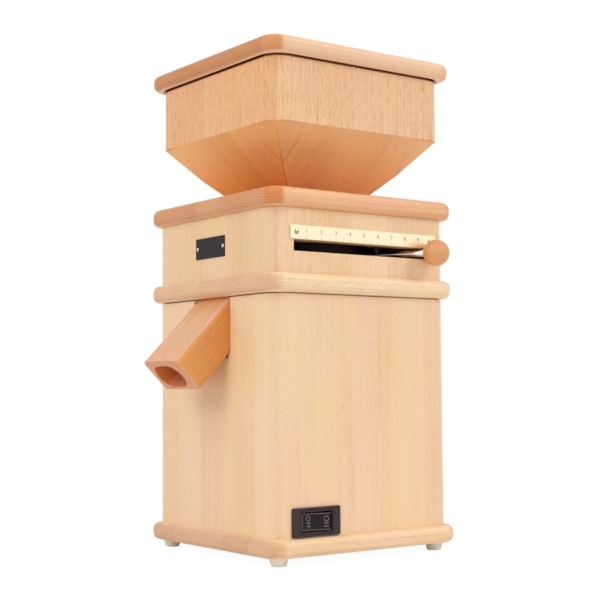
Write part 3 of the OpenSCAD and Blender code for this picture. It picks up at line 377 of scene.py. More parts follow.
class Beech(Finish):
    """Oiled beech glued from staves, with fine lines, pores, growth rings and end grain."""

    def __init__(self, name, wood, base, seed):
        super().__init__("beech_" + name)
        self.wood = wood
        self.base = base
        self.seed = seed
        self.place = self.coordinates("Object")
        self.normal = self.coordinates("Normal")
        self.x, self.y, self.z = self.split(self.place)
        # share of painted shadow, where the wood is made metallic to lose its gloss
        self.void = 0.0

    def lay(self, grain, side=X_AXIS, heart=0.0):
        """Straight boards: the fibres run along grain, and the staves lie side by side."""
        self.face = 0.0
        self.along = self.dot(self.place, grain)
        self.across = self.dot(self.place, side)
        self.depth = self.dot(self.place, tuple(Vector(grain).cross(Vector(side)))) - heart
        self.end_grain = abs(self.dot(self.normal, grain))
        return self

    def lay_round(self, heart, lean=0.0):
        """Four walls whose fibres run up and lean out by an angle."""
        nx, ny, nz = self.split(self.normal)
        on_x = abs(self.x) > abs(self.y)
        out = self.y + (self.x - self.y) * on_x
        way = (out > 0) * 2 - 1
        normal_out = (ny + (nx - ny) * on_x) * way
        out = abs(out) - heart
        up, over = math.cos(lean), math.sin(lean)
        self.face = on_x * 2 + way
        self.across = self.x + (self.y - self.x) * on_x
        self.along = self.z * up + out * over
        self.depth = out * up - self.z * over
        self.end_grain = abs(nz * up + normal_out * over)
        return self

    def fibres(self, across, along, detail=1.0, roughness=0.5):
        """Noise drawn out along the fibres, different in each stave.

        across and along are how often it changes in a metre.
        """
        place = self.vector(
            self.across * across + self.lot * 40, self.depth * across, self.along * along)
        return self.noise(place, detail, roughness)

    def grow(self, lines=0.42, dashes=0.40, rings=0.07, arcs=0.10,
             ends=(0.84, 0.74, 0.70), soaked=0.0):
        """Colours the wood.

        lines, dashes, rings and arcs are how strongly fine lines, pores, growth rings and the
        rings of end grain show. ends is the tint of end grain. soaked is how much darker oil
        has made the rounded corners.
        """
        wood = self.wood
        strip = self.across / wood.stave + 0.37
        index = strip.math("FLOOR")
        inside = strip - index
        number = index * 3.71 + self.face * 9.65 + self.seed
        self.lot, lot_across, lot_depth = self.scatter(number)
        heart_across = (inside - 0.5) * wood.stave + (lot_across - 0.5) * HEART_ACROSS
        heart_depth = self.depth + HEART_DEPTH[0] + lot_depth * HEART_DEPTH[1]
        from_heart = (heart_across ** 2 + heart_depth ** 2).math("SQRT")
        late_wood = (from_heart / wood.ring + self.fibres(22, 4, 2) * 3.0).math("FRACT") ** 3
        streaks = self.fibres(520, 8, 2)
        pores = self.fibres(1050, 120, 2, 0.65)
        flecks = self.smooth(self.fibres(900, 170), 0.62, 0.74)
        clouds = self.fibres(18, 5)
        joint = self.smooth(abs(inside - 0.5), 0.492, 0.499)
        end = self.smooth(self.end_grain, 0.45, 0.85)
        light = 0.52 + (streaks - 0.5) * lines + (pores - 0.5) * dashes + (clouds - 0.5) * 0.45
        light = light + (self.lot - 0.5) * 0.16 - flecks * 0.20 - joint * 0.06
        light = light - late_wood * (rings + end * arcs)
        self.body = self.ramp(
            light,
            (0.0, shade(self.base, 0.82, 0.68, 0.54)),
            (0.5, self.base),
            (1.0, shade(self.base, 1.06, 1.13, 1.22)))
        place = self.vector(self.across * 26 + 7.7, self.depth * 26, self.along * 11)
        patch = self.noise(place, 1.5)
        warm = self.smooth(patch + (lot_across - 0.5) * 0.16, 0.34, 0.68)
        self.darken(1.0, self.mix(warm, (1.0, 0.985, 1.06), (0.995, 1.0, 0.925)))
        # end grain and oiled corners are darker on faces towards the front than on faces towards
        # the back
        less_at_back = 1 - self.smooth(self.dot(self.normal, Y_AXIS), 0.0, 0.35) * 0.65
        corner = self.corners() * less_at_back * soaked
        at_end = self.smooth(self.end_grain, 0.15, 0.75)
        self.darken(at_end * (1 - corner) * less_at_back, ends)
        self.darken(corner, SOAKED)
        self.relief = streaks * 0.4 + pores * 0.6 - late_wood * 0.2 - flecks * 0.4
        self.gloss = 0.44 + (streaks - 0.5) * 0.16 + end * 0.12
        return self

    def darken(self, share, tint):
        """Multiplies the colour by a tint where share is 1."""
        self.body = self.mix(share, self.body, tint, "MULTIPLY")

    def gap(self, share, tint):
        """Paints shadow into a dark gap between two boards, and makes the wood metallic there so
        that it loses its own gloss.
        """
        self.void = share
        self.darken(share, tint)

    def corners(self):
        """1 on upright rounded corners and bevels, 0 on the four sides."""
        nx, ny, _ = self.split(self.normal)
        flat = (nx ** 2 + ny ** 2).math("SQRT")
        share = self.smooth(abs(nx).math("MINIMUM", abs(ny)) / (flat + 0.001), 0.10, 0.42)
        return share * self.smooth(flat, 0.35, 0.75)

    def facing(self, way):
        """1 on the side that faces a way."""
        return self.smooth(self.dot(self.normal, way), 0.55, 0.68)

    def facing_down(self):
        """1 on faces that look down."""
        return self.dot(self.normal, DOWN) > 0.1

    def beyond(self, half):
        """Distance outside the upright walls of a square body with rounded corners."""
        over_x = (abs(self.x) - (half - CORNER)).math("MAXIMUM", 0)
        over_y = (abs(self.y) - (half - CORNER)).math("MAXIMUM", 0)
        return (over_x ** 2 + over_y ** 2).math("SQRT") - CORNER

    def mark_round(self, half, reach):
        """Paints the shadow that the walls under a board cast on its underside, as a dark line."""
        near = 1 - self.smooth(abs(self.beyond(half)), reach * 0.5, reach)
        self.gap(self.facing_down() * near, (0.26, 0.10, 0.03))

    def band(self, height, reach):
        """1 within reach of a height."""
        return 1 - self.smooth(abs(self.z - height), reach * 0.8, reach * 1.2)

    def done(self):
        """Ends the wood in its shader."""
        return self.surface({
            "Base Color": self.body,
            "Metallic": self.void,
            "Roughness": self.gloss,
            "Normal": self.bump(self.relief, 0.00006, 0.5),
            "Specular IOR Level": 0.36,
        })


def brushed(name, base, roughness, way=X_AXIS, worn=0.06):
    """Metal with fine brush lines along one way and slight cloudiness."""
    finish = Finish(name)
    across, along = BRUSHED
    scale = [across + (along - across) * abs(part) for part in way]
    lines = finish.noise(finish.scaled(*scale), 3, 0.6)
    clouds = finish.noise(finish.scaled(60), 2)
    return finish.surface({
        "Base Color": finish.mix(clouds * 0.7, base, shade(base, 0.90, 0.88, 0.86)),
        "Metallic": 1.0,
        "Roughness": roughness + (lines - 0.5) * 0.22 + (clouds - 0.5) * worn,
        "Normal": finish.bump(lines, 0.00002, 0.35),
    })


def turned(name, base, roughness, pitch=0.35):
    """Metal turned on a lathe: fine grooves round the upright axis."""
    finish = Finish(name)
    x, y, z = finish.split(finish.coordinates("Object"))
    radius = (x ** 2 + y ** 2).math("SQRT")
    grooves = ((radius + z) * (2 * math.pi / (pitch * MM))).math("SINE")
    grain = finish.noise(finish.scaled(700), 3)
    clouds = finish.noise(finish.scaled(45), 2)
    return finish.surface({
        "Base Color": finish.mix(clouds, shade(base, 0.88), shade(base, 1.05)),
        "Metallic": 1.0,
        "Roughness": roughness + (grain - 0.5) * 0.20,
        "Normal": finish.bump(grooves * 0.3 + grain, 0.00003, 0.5),
    })


def moulded(name, base, roughness, texture=0.00003, fineness=2200, specular=0.5, tints=()):
    """Moulded plastic or rubber with a fine eroded texture and faint handling marks.

    tints is a list of (mask, colour); a mask is a function of the finish and its y and z.
    """
    finish = Finish(name)
    _, y, z = finish.split(finish.coordinates("Object"))
    skin = finish.noise(finish.scaled(fineness), 2)
    clouds = finish.noise(finish.scaled(70), 3)
    body = finish.mix(clouds, shade(base, 0.90), shade(base, 1.08))
    for mask, tint in tints:
        body = finish.mix(mask(finish, y, z), body, tint)
    return finish.surface({
        "Base Color": body,
        "Roughness": roughness + (clouds - 0.5) * 0.14 + (skin - 0.5) * 0.08,
        "Normal": finish.bump(skin, texture, 0.5),
        "Specular IOR Level": specular,
    })


def grit(name, base):
    """Bound corundum grit: light and dark grains in a paler bond."""
    finish = Finish(name)
    grains = finish.cells(finish.scaled(900))
    speckle = finish.noise(finish.scaled(1500), 3, 0.7)
    body = finish.ramp(
        grains + (speckle - 0.5) * 0.9,
        (0.10, shade(base, 0.45, 0.43, 0.40)),
        (0.35, shade(base, 0.92, 0.92, 0.90)),
        (0.75, shade(base, 1.18, 1.17, 1.15)))
    return finish.surface({
        "Base Color": body,
        "Roughness": 0.86,
        "Normal": finish.bump(grains, 0.0004, 0.8),
    })


def striped(name, base, gap, pitch, metallic, roughness):
    """Stacked sheets or wound wire: fine bands one above the other."""
    finish = Finish(name)
    _, _, z = finish.split(finish.coordinates("Object"))
    drift = finish.noise(finish.scaled(90), 2)
    band = (z / (pitch * MM) + drift * 0.6).math("FRACT")
    edge = finish.smooth(abs(band - 0.5), 0.30, 0.48)
    body = finish.mix(edge, finish.mix(drift, base, shade(base, 0.8)), gap)
    return finish.surface({
        "Base Color": body,
        "Metallic": metallic,
        "Roughness": roughness + edge * 0.2,
        "Normal": finish.bump(1 - edge, 0.00012, 0.7),
    })


def felted(name, base):
    """Pressed felt with short fibres."""
    finish = Finish(name)
    fibres = finish.noise(finish.scaled(1800, 1800, 700), 4, 0.75)
    clumps = finish.noise(finish.scaled(300), 2)
    return finish.surface({
        "Base Color": finish.ramp(
            fibres * 0.6 + clumps * 0.4, (0.3, shade(base, 0.68, 0.66, 0.62)), (0.7, base)),
        "Roughness": 0.95,
        "Normal": finish.bump(fibres, 0.0003, 0.9),
    })


def plate_finish(name, fitting):
    """Satin dark sheet with a darker border."""
    finish = Finish(name)
    x, _, z = finish.split(finish.coordinates("Object"))
    low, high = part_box("name_plate")
    centre = (low + high) / 2
    half = (high - low) / 2
    from_side = half.x - abs(x - centre.x)
    from_edge = from_side.math("MINIMUM", half.z - abs(z - centre.z))
    border = 1 - finish.smooth(from_edge, 0.6 * MM, 1.2 * MM)
    lines = finish.noise(finish.scaled(90, 0, 2600), 3, 0.6)
    clouds = finish.noise(finish.scaled(130, 0, 130), 2)
    light = shade(fitting.plate, 1.25, 1.25, 1.3)
    body = finish.mix(lines * 0.4 + clouds * 0.6, shade(fitting.plate, 0.75), light)
    return finish.surface({
        "Base Color": finish.mix(border, body, fitting.plate_line),
        "Roughness": 0.50 + (lines - 0.5) * 0.2,
        "Normal": finish.bump(lines, 0.00002, 0.4),
        "Specular IOR Level": 0.18,
    })


# --- pieces ---


def dress(material, *nodes):
    """Gives solids of the frame their finish."""
    for name in nodes:
        solid = frame["nodes"][name]
        if not solid.material_slots:
            solid.data.materials.append(None)
        for slot in solid.material_slots:
            slot.material = material


def even_shading(limit):
    """Modifier tree that joins split corners and shades softly over edges shallower than limit."""
    tree = bpy.data.node_groups.new("even_shading", "GeometryNodeTree")
    for way in ("INPUT", "OUTPUT"):
        tree.interface.new_socket("Geometry", in_out=way, socket_type="NodeSocketGeometry")

    def add(kind, settings=None, inputs=None):
        node = tree.nodes.new(kind)
        for name, setting in (settings or {}).items():
            setattr(node, name, setting)
        for name, value in (inputs or {}).items():
            if isinstance(value, bpy.types.NodeSocket):
                tree.links.new(value, node.inputs[name])
            else:
                node.inputs[name].default_value = value
        return node

    start = add("NodeGroupInput")
    plain = add("GeometryNodeRemoveAttribute", {}, {
        "Geometry": start.outputs[0], "Name": "custom_normal"})
    joined = add("GeometryNodeMergeByDistance", {}, {
        "Geometry": plain.outputs[0], "Distance": WELD})
    soft = add("GeometryNodeSetShadeSmooth", {"domain": "FACE"}, {
        "Geometry": joined.outputs[0], "Shade Smooth": True})
    bend = add("GeometryNodeInputMeshEdgeAngle")
    sharp = add("FunctionNodeCompare", {"data_type": "FLOAT", "operation": "GREATER_THAN"}, {
        0: bend.outputs["Unsigned Angle"], 1: limit})
    crisp = add("GeometryNodeSetShadeSmooth", {"domain": "EDGE"}, {
        "Geometry": soft.outputs[0], "Selection": sharp.outputs["Result"], "Shade Smooth": False})
    add("NodeGroupOutput", {}, {0: crisp.outputs[0]})
    return tree


def soften(*nodes, bevel=0.0):
    """Shades the rounded edges of solids evenly, and takes the sharp ones off by a bevel."""
    tree = even_shading(math.radians(35 if bevel else 20))
    for name in nodes:
        modifiers = frame["nodes"][name].modifiers
        if bevel:
            weld = modifiers.new("weld", "WELD")
            weld.merge_threshold = WELD
            rounding = modifiers.new("bevel", "BEVEL")
            rounding.width = bevel
            rounding.segments = 3
            rounding.limit_method = "ANGLE"
            rounding.angle_limit = math.radians(50)
        modifiers.new("even_shading", "NODES").node_group = tree
        modifiers.new("flat_faces_first", "WEIGHTED_NORMAL").keep_sharp = True


def glyphs(word):
    """A word as a flat mesh of height 1 with its middle at the origin."""
    curve = bpy.data.curves.new("word", "FONT")
    curve.body = word
    curve.resolution_u = 6
    writing = bpy.data.objects.new("word", curve)
    bpy.context.scene.collection.objects.link(writing)
    bpy.context.view_layer.update()
    graph = bpy.context.evaluated_depsgraph_get()
    mesh = bpy.data.meshes.new_from_object(writing.evaluated_get(graph))
    bpy.data.objects.remove(writing)
    bpy.data.curves.remove(curve)
    xs = [vertex.co.x for vertex in mesh.vertices]
    ys = [vertex.co.y for vertex in mesh.vertices]
    size = max(ys) - min(ys)
    centre = Vector(((max(xs) + min(xs)) / 2, (max(ys) + min(ys)) / 2, 0))
    mesh.transform(Matrix.Scale(1 / size, 4) @ Matrix.Translation(-centre))
    return mesh


def printed(name, body, marks, ink, material):
    """Printed marks as one thin mesh. marks is a list of (flat mesh, matrix)."""
    build = bmesh.new()
    for mesh, matrix in marks:
        copy = mesh.copy()
        copy.transform(matrix)
        build.from_mesh(copy)
        bpy.data.meshes.remove(copy)
    bmesh.ops.remove_doubles(build, verts=build.verts, dist=0.001 * MM)
    bmesh.ops.recalc_face_normals(build, faces=build.faces)
    mesh = bpy.data.meshes.new(name)
    build.to_mesh(mesh)
    build.free()
    piece = bpy.data.objects.new(name, mesh)
    bpy.context.scene.collection.objects.link(piece)
    thickness = piece.modifiers.new("ink", "SOLIDIFY")
    thickness.thickness = ink
    thickness.offset = 0
    mesh.materials.append(material)
    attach(piece, body)


def stroke(width, height):
    """An upright stroke with rounded ends as a flat mesh with its middle at the origin."""
    build = bmesh.new()
    half = width / 2
    turns = [math.pi * k / (STROKE_POINTS - 1) for k in range(STROKE_POINTS)]
    outline = [(half * math.cos(t), height / 2 - half + half * math.sin(t)) for t in turns]
    outline += [(-x, -y) for x, y in outline]
    build.faces.new([build.verts.new((x, y, 0)) for x, y in outline])
    mesh = bpy.data.meshes.new("stroke")
    build.to_mesh(mesh)
    build.free()
    return mesh


def set_down(place, right, up, size=1.0):
    """Matrix that puts a flat mark at a place, reading along right, with its top towards up."""
    right = Vector(right).normalized()
    up = Vector(up).normalized()
    turn = Matrix((right, up, right.cross(up))).transposed().to_4x4()
    return Matrix.Translation(place) @ turn @ Matrix.Scale(size, 4)


class Piece(bpy.types.Operator):
    """Base of the operators that finish the mill's pieces."""

    bl_options = {"REGISTER", "UNDO"}

    def execute(self, context):
        self.make(context.scene.grain_mill)
        return {"FINISHED"}


class GRAINMILL_OT_boards(Piece):
    """Finish the lid, the top board, the collar and the base"""

    bl_idname = "grain_mill.boards"
    bl_label = "Boards"

    def make(self, mill):
        wood = mill.wood
        # node, colour, seed, tint of the end grain, oil in the corners, rings in the end grain
        boards = (
            ("lid_panel", wood.lid, 4.2, (0.70, 0.47, 0.31), 0.95, 0.06),
            ("top_plate", wood.top, 11.9, (0.79, 0.70, 0.65), 1.0, 0.45),
            ("collar", wood.collar, 23.5, (0.82, 0.70, 0.65), 0.10, 0.06),
            ("base_plate", wood.base, 37.1, (0.82, 0.72, 0.71), 0.25, 0.08),
        )
        for node, base, seed, ends, soaked, arcs in boards:
            board = Beech(node, wood, base, seed).lay(Y_AXIS, heart=-middle(node).z)
            board.grow(lines=0.6, dashes=0.6, rings=0.16, arcs=arcs, ends=ends, soaked=soaked)
            if node == "lid_panel":
                # painted shadow of the hopper's walls on the lid's underside
                board.mark_round(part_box("hopper_box")[1].x, 2.4 * MM)
            dress(board.done(), node)
        far = 390 * MM  # a heart so far off that the growth rings lie flat
        insert = Beech("lid_insert", wood, wood.lid, 51.0).lay(Y_AXIS, heart=far).grow()
        dress(insert.done(), "lid_insert")
        soften("lid_panel", "top_plate", "collar", "base_plate")


class GRAINMILL_OT_casings(Piece):
    """Finish both casings and the dowels between them"""

    bl_idname = "grain_mill.casings"
    bl_label = "Casings"

    def make(self, mill):
        wood = mill.wood
        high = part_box("upper_casing")[1]
        upper = Beech("upper_casing", wood, wood.upper, 61.3).lay_round(high.x)
        upper.grow(lines=0.55, dashes=0.55)
        # joint line under the top board, partly painted shade
        upper.darken(upper.band(high.z, wood.seam * 0.6), SEAM_PAINTED_SHADE)
        upper.darken(upper.facing(FRONT), (0.92, 0.91, 0.87))
        dress(upper.done(), "upper_casing")
        lower = Beech("lower_casing", wood, wood.casing, 73.9).lay_round(high.x).grow()
        seam = lower.band(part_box("lower_casing")[1].z, wood.seam * 0.6)
        # joint line under the collar, partly painted shade; on the front it is a painted shadow of
        # the collar
        lower.darken(seam, (0.97, 0.87, 0.70))
        lower.darken(seam * lower.facing(FRONT), (0.48, 0.33, 0.19))
        lower.darken(lower.facing(FRONT), (0.97, 0.97, 0.96))
        dress(lower.done(), "lower_casing")
        dowels = Beech("dowels", wood, wood.base, 80.0).lay(Z_AXIS).grow()
        dress(dowels.done(), "upper_dowels")


class GRAINMILL_OT_hopper(Piece):
    """Finish the hopper box and its funnel"""

    bl_idname = "grain_mill.hopper"
    bl_label = "Hopper"

    def make(self, mill):
        wood = mill.wood
        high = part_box("hopper_box")[1]
        box = Beech("hopper", wood, wood.hopper, 91.7).lay_round(high.x)
        box.grow(lines=1.45, dashes=2.0, rings=0.10)
        box.darken(box.facing(FRONT), (0.95, 0.86, 0.74))
        # painted light: paler wood at the top of the hopper box, against the shadow of the lid
        box.darken(box.smooth(box.z, high.z - 10 * MM, high.z - 2 * MM), (1.13, 1.12, 1.09))
        outside = box.smooth(box.beyond(high.x), -0.4 * MM, -0.2 * MM)
        # painted shadow: a dark line under the lid's edge, on the outside of the hopper box
        box.gap(box.band(high.z, wood.seam * 1.15) * outside, GAP_PAINTED_SHADOW)
        dress(box.done(), "hopper_box")
        neck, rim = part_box("hopper_funnel")
        funnel = Beech("funnel", wood, wood.funnel, 104.1)
        funnel.lay_round(rim.x, lean("hopper_funnel"))
        funnel.grow(lines=0.45, dashes=0.5, rings=0.05)
        # painted shade: the boards darken towards the neck and on the front board, as under faces
        # that look down
        low = 1 - funnel.smooth(funnel.z, neck.z, rim.z)
        funnel.darken(low * (1 - funnel.facing(X_AXIS) * 0.7), (0.94, 0.80, 0.64))
        funnel.darken(funnel.facing(FRONT), (1.0, 0.92, 0.68))
        self.shelter(funnel, neck, rim)
        self.facets(funnel, neck, rim)
        dress(funnel.done(), "hopper_funnel")

    def shelter(self, funnel, neck, rim):
        """Paints shade on the boards towards the front right corner, and paints light on their far
        ends.
        """
        half = abs(funnel.x).math("MAXIMUM", abs(funnel.y))
        towards = (funnel.x - funnel.y) / (half * 2)
        below_rim = 1 - funnel.smooth(funnel.z, rim.z - 0.4 * (rim.z - neck.z), rim.z)
        # painted shade towards the corner, then painted light on the far ends
        funnel.darken(funnel.smooth(towards, 0.35, 0.85) * below_rim, (0.86, 0.76, 0.72))
        funnel.darken(1 - funnel.smooth(towards, 0.05, 0.40), (1.10, 1.16, 1.22))

    def facets(self, funnel, neck, rim):
        """Paints shade on the sanded facets beside the mitre of two boards and dark lines along
        their edges, and a mitre line that painted shade deepens downward.
        """
        facet_h = FACET_SHARE * (rim.z - neck.z)
        down = (rim.z - funnel.z) / facet_h
        tip = rim.x - math.tan(lean("hopper_funnel")) * facet_h
        start = rim.x - FACET_RUN
        past_edge = abs(funnel.across) - start - down * (tip - start)
        on_facet = (1 - funnel.smooth(down, 0.9, 1.1)) * funnel.facing_down()
        # painted shade on the facets, then painted dark lines along their edges
        funnel.darken(funnel.smooth(past_edge, 0, 1.0 * MM) * on_facet, (0.97, 0.96, 0.93))
        edge = 1 - funnel.smooth(abs(past_edge), 0.3 * MM, 1.1 * MM)
        funnel.darken(edge * funnel.smooth(down, 0.15, 0.5) * on_facet, (0.86, 0.74, 0.62))
        from_mitre = abs(abs(funnel.x) - abs(funnel.y))
        mitre = 1 - funnel.smooth(from_mitre, 0.3 * MM, 1.0 * MM)
        # dark mitre line, deepened downward by painted shade
        funnel.darken(mitre * (0.25 + funnel.smooth(down, 0.2, 1.3) * 0.75), (0.74, 0.56, 0.42))


class GRAINMILL_OT_spout(Piece):
    """Finish the flour spout"""

    bl_idname = "grain_mill.spout"
    bl_label = "Spout"

    def make(self, mill):
        wood = mill.wood
        low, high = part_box("spout")
        block = Beech("spout", wood, wood.spout, 117.0).lay((0, SLANT, SLANT))
        block.grow(lines=1.0, dashes=1.3, rings=0.16, ends=(0.93, 0.84, 0.80))
        # painted shade on the side that the casing keeps from the key light, deeper towards the
        # casing
        block.darken(block.facing(X_AXIS), (1.0, 0.79, 0.43))
        side_shade = block.smooth(block.y, low.y + 10 * MM, high.y - 30 * MM)
        block.darken(block.facing(X_AXIS) * side_shade, (0.87, 0.64, 0.40))
        # painted shadow of the collar on the upper end of the spout
        collar_shadow = block.smooth(block.z, high.z - 32 * MM, high.z - 12 * MM)
        block.darken(collar_shadow, (0.86, 0.72, 0.58))
        width, height = SPOUT_BORE
        across = abs(block.x - SPOUT_BORE_X) - (width - height) / 2
        across = across.math("MAXIMUM", 0)
        from_line = (across ** 2 + (block.depth - SPOUT_LINE) ** 2).math("SQRT")
        inside = 1 - block.smooth(from_line, height / 2 + 0.1 * MM, height / 2 + 0.5 * MM)
        # painted shade inside the bore
        block.darken(inside, (1.0, 0.70, 0.66))
        dress(block.done(), "spout")


class GRAINMILL_OT_lever(Piece):
    """Finish the fineness lever, its ball knob and the ring nut"""

    bl_idname = "grain_mill.lever"
    bl_label = "Lever"

    def make(self, mill):
        knob = middle("lever_knob")
        rod = Vector((knob.x, knob.y, 0)).normalized()
        ball = Beech("knob", mill.wood, mill.wood.knob, 131.0).lay(tuple(rod), Z_AXIS)
        ball.grow(lines=0.3, dashes=0.3, rings=0.12, arcs=0.1, ends=(0.96, 0.92, 0.88))
        dress(ball.done(), "lever_knob")
        dress(brushed("chrome", mill.metal.chrome, 0.10, tuple(rod), 0.03), "lever_rod")
        dress(turned("black_oxide", mill.metal.oxide, 0.42), "adjusting_ring")


class GRAINMILL_OT_scale(Piece):
    """Finish the numbered scale and print its numbers and strokes"""

    bl_idname = "grain_mill.scale"
    bl_label = "Scale"

    def make(self, mill):
        fitting = mill.fitting
        dress(brushed("satin_brass", mill.metal.brass, 0.36, Y_AXIS), "scale_plate")
        dull = shade(mill.metal.brass, 0.50, 0.45, 0.36)
        dress(brushed("scale_screw_brass", dull, 0.34), "scale_screws")
        low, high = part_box("scale_plate")
        ink = moulded("number_ink", fitting.number, 0.55)
        number_z = low.z + (high.z - low.z) * NUMBER_SHARE
        marks = []
        for number in range(1, 10):
            place = (high.x, self.along(fitting, number), number_z)
            marks.append((glyphs(str(number)), set_down(place, Y_AXIS, Z_AXIS, fitting.number_h)))
        printed("scale_numbers", "mill", marks, fitting.ink, ink)
        width, rise = STROKE
        ticks = []
        for half in range(2, 19):
            tall = fitting.tick_h * (0.5 if half % 2 else 1.0)
            place = (high.x, self.along(fitting, half / 2), low.z + tall / 2 + rise)
            ticks.append((stroke(width, tall), set_down(place, Y_AXIS, Z_AXIS)))
        printed("scale_strokes", "mill", ticks, fitting.ink, ink)

    def along(self, fitting, number):
        """Where a number sits along the scale."""
        return (number - 5) * fitting.number_pitch - fitting.number_shift


class GRAINMILL_OT_name_plate(Piece):
    """Finish the bare plate on the front and its pins"""

    bl_idname = "grain_mill.name_plate"
    bl_label = "Name plate"

    def make(self, mill):
        dress(plate_finish("satin_black_plate", mill.fitting), "name_plate")
        dress(brushed("pin_steel", mill.metal.steel, 0.28), "name_plate_pins")


class GRAINMILL_OT_switch(Piece):
    """Finish the rocker switch and print its two words"""

    bl_idname = "grain_mill.switch"
    bl_label = "Switch"

    def make(self, mill):
        fitting = mill.fitting
        low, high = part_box("switch_rocker")
        centre = (low + high) / 2

        def past(y, z):
            """How far a point is outside the rocker's edge."""
            past_end = abs(y - centre.y) - ROCKER[0] / 2
            return past_end.math("MAXIMUM", abs(z - centre.z) - ROCKER[1] / 2)

        def rim(finish, y, z):
            """1 along the edges of the rocker's face, where a highlight is painted."""
            face = finish.smooth(finish.dot(finish.coordinates("Normal"), X_AXIS), 0.5, 0.8)
            return finish.smooth(past(y, z), -1.1 * MM, -0.6 * MM) * face

        def groove(finish, y, z):
            """1 in the painted shadow of a fine groove round the frame's opening."""
            return 1 - finish.smooth(abs(past(y, z) - SWITCH_GROOVE), 0.15 * MM, 0.5 * MM)

        # painted highlight along the edges of the rocker's face
        edge = shade(fitting.legend, 0.7, 0.66, 0.68)
        dress(moulded("switch_plastic", fitting.frame, 0.40,
                      specular=0.25, tints=[(groove, (0, 0, 0))]), "switch_housing")
        dress(moulded("rocker_plastic", fitting.rocker, 0.22, 0.00001,
                      specular=0.2, tints=[(rim, edge)]), "switch_rocker")
        soften("switch_housing", "switch_rocker", bevel=0.35 * MM)
        dress(brushed("terminal_brass", mill.metal.brass, 0.35), "switch_terminals")
        rocker = frame["nodes"]["switch_rocker"]
        surface = BVHTree.FromObject(rocker, bpy.context.evaluated_depsgraph_get())
        from_middle = ROCKER[0] * WORD_SHARE
        marks = []
        for word, way in (("OFF", -1), ("ON", 1)):
            start = Vector((high.x + 10 * MM, centre.y + way * from_middle, centre.z))
            place, normal, _, _ = surface.ray_cast(start, Vector((-1, 0, 0)))
            if place is None:
                raise RuntimeError("the rocker's face wasn't found for the word " + word)
            up = normal.cross(Vector(DOWN))
            marks.append((glyphs(word), set_down(place, DOWN, up, fitting.word_h)))
        ink = moulded("legend_ink", fitting.legend, 0.5)
        printed("rocker_words", "rocker", marks, fitting.ink, ink)


class GRAINMILL_OT_feet(Piece):
    """Finish the feet"""

    bl_idname = "grain_mill.feet"
    bl_label = "Feet"

    def make(self, mill):
        dress(moulded("foot_rubber", mill.fitting.foot, 0.62, 0.00004), "feet")


class GRAINMILL_OT_stones(Piece):
    """Finish the stones and the felt seal"""

    bl_idname = "grain_mill.stones"
    bl_label = "Stones"

    def make(self, mill):
        dress(grit("bound_grit", mill.fitting.stone), "upper_stone", "lower_stone")
        dress(felted("seal_felt", mill.fitting.felt), "shaft_seal")


class GRAINMILL_OT_castings(Piece):
    """Finish the turned castings round the stones and on the motor"""

    bl_idname = "grain_mill.castings"
    bl_label = "Castings"

    def make(self, mill):
        cast = turned("turned_aluminium", mill.metal.aluminium, 0.38)
        dress(cast, "stone_carrier", "grinding_chamber", "stone_hub")
        dress(turned("cast_shield", shade(mill.metal.aluminium, 0.8), 0.5, 0.6),
              "motor_top_shield", "motor_bottom_shield")


class GRAINMILL_OT_steel(Piece):
    """Finish screws, pins, springs, posts and other steel"""

    bl_idname = "grain_mill.steel"
    bl_label = "Steel"

    def make(self, mill):
        metal = mill.metal
        dress(brushed("zinc_plate", metal.zinc, 0.34, Z_AXIS),
              "foot_screws", "collar_screws", "spout_screws", "ring_retainer", "retainer_posts",
              "hub_key", "hub_bolt", "hub_washer", "motor_bolts", "motor_nuts", "spacer_sleeves",
              "capacitor_clip")
        dress(brushed("bright_steel", metal.steel, 0.24, Z_AXIS),
              "guide_pins", "carrier_springs", "grain_inlet", "flour_wipers", "motor_shaft",
              "upper_bearing", "lower_bearing")


class GRAINMILL_OT_motor(Piece):
    """Finish the drum, the cores, the windings and the fan of the motor"""

    bl_idname = "grain_mill.motor"
    bl_label = "Motor"

    def make(self, mill):
        metal = mill.metal
        fitting = mill.fitting
        seam = shade(metal.sheet, 0.35)
        sheets = striped("core_sheets", metal.sheet, seam, 0.5, 0.9, 0.42)
        dress(sheets, "rotor_core", "stator_core")
        turns = shade(metal.copper, 0.45, 0.40, 0.35)
        dress(striped("wound_copper", metal.copper, turns, 0.8, 0.7, 0.30), "stator_windings")
        dress(moulded("motor_paint", metal.paint, 0.45, 0.00008, 900), "motor_drum", "fan_cover")
        dress(moulded("fan_plastic", fitting.black, 0.50), "cooling_fan")


class GRAINMILL_OT_electrics(Piece):
    """Finish the capacitor, the terminal block, the wires and the cord gland"""

    bl_idname = "grain_mill.electrics"
    bl_label = "Electrics"

    def make(self, mill):
        fitting = mill.fitting
        dress(moulded("capacitor_can", fitting.white, 0.40), "capacitor")
        cream = shade(fitting.white, 1.04, 1.03, 1.0)
        dress(moulded("block_plastic", cream, 0.48), "terminal_block")
        dress(moulded("wire_plastic", fitting.wire, 0.45), "inner_wires")
        dress(moulded("gland_plastic", fitting.black, 0.44, 0.00006), "cord_gland", "gland_nut")


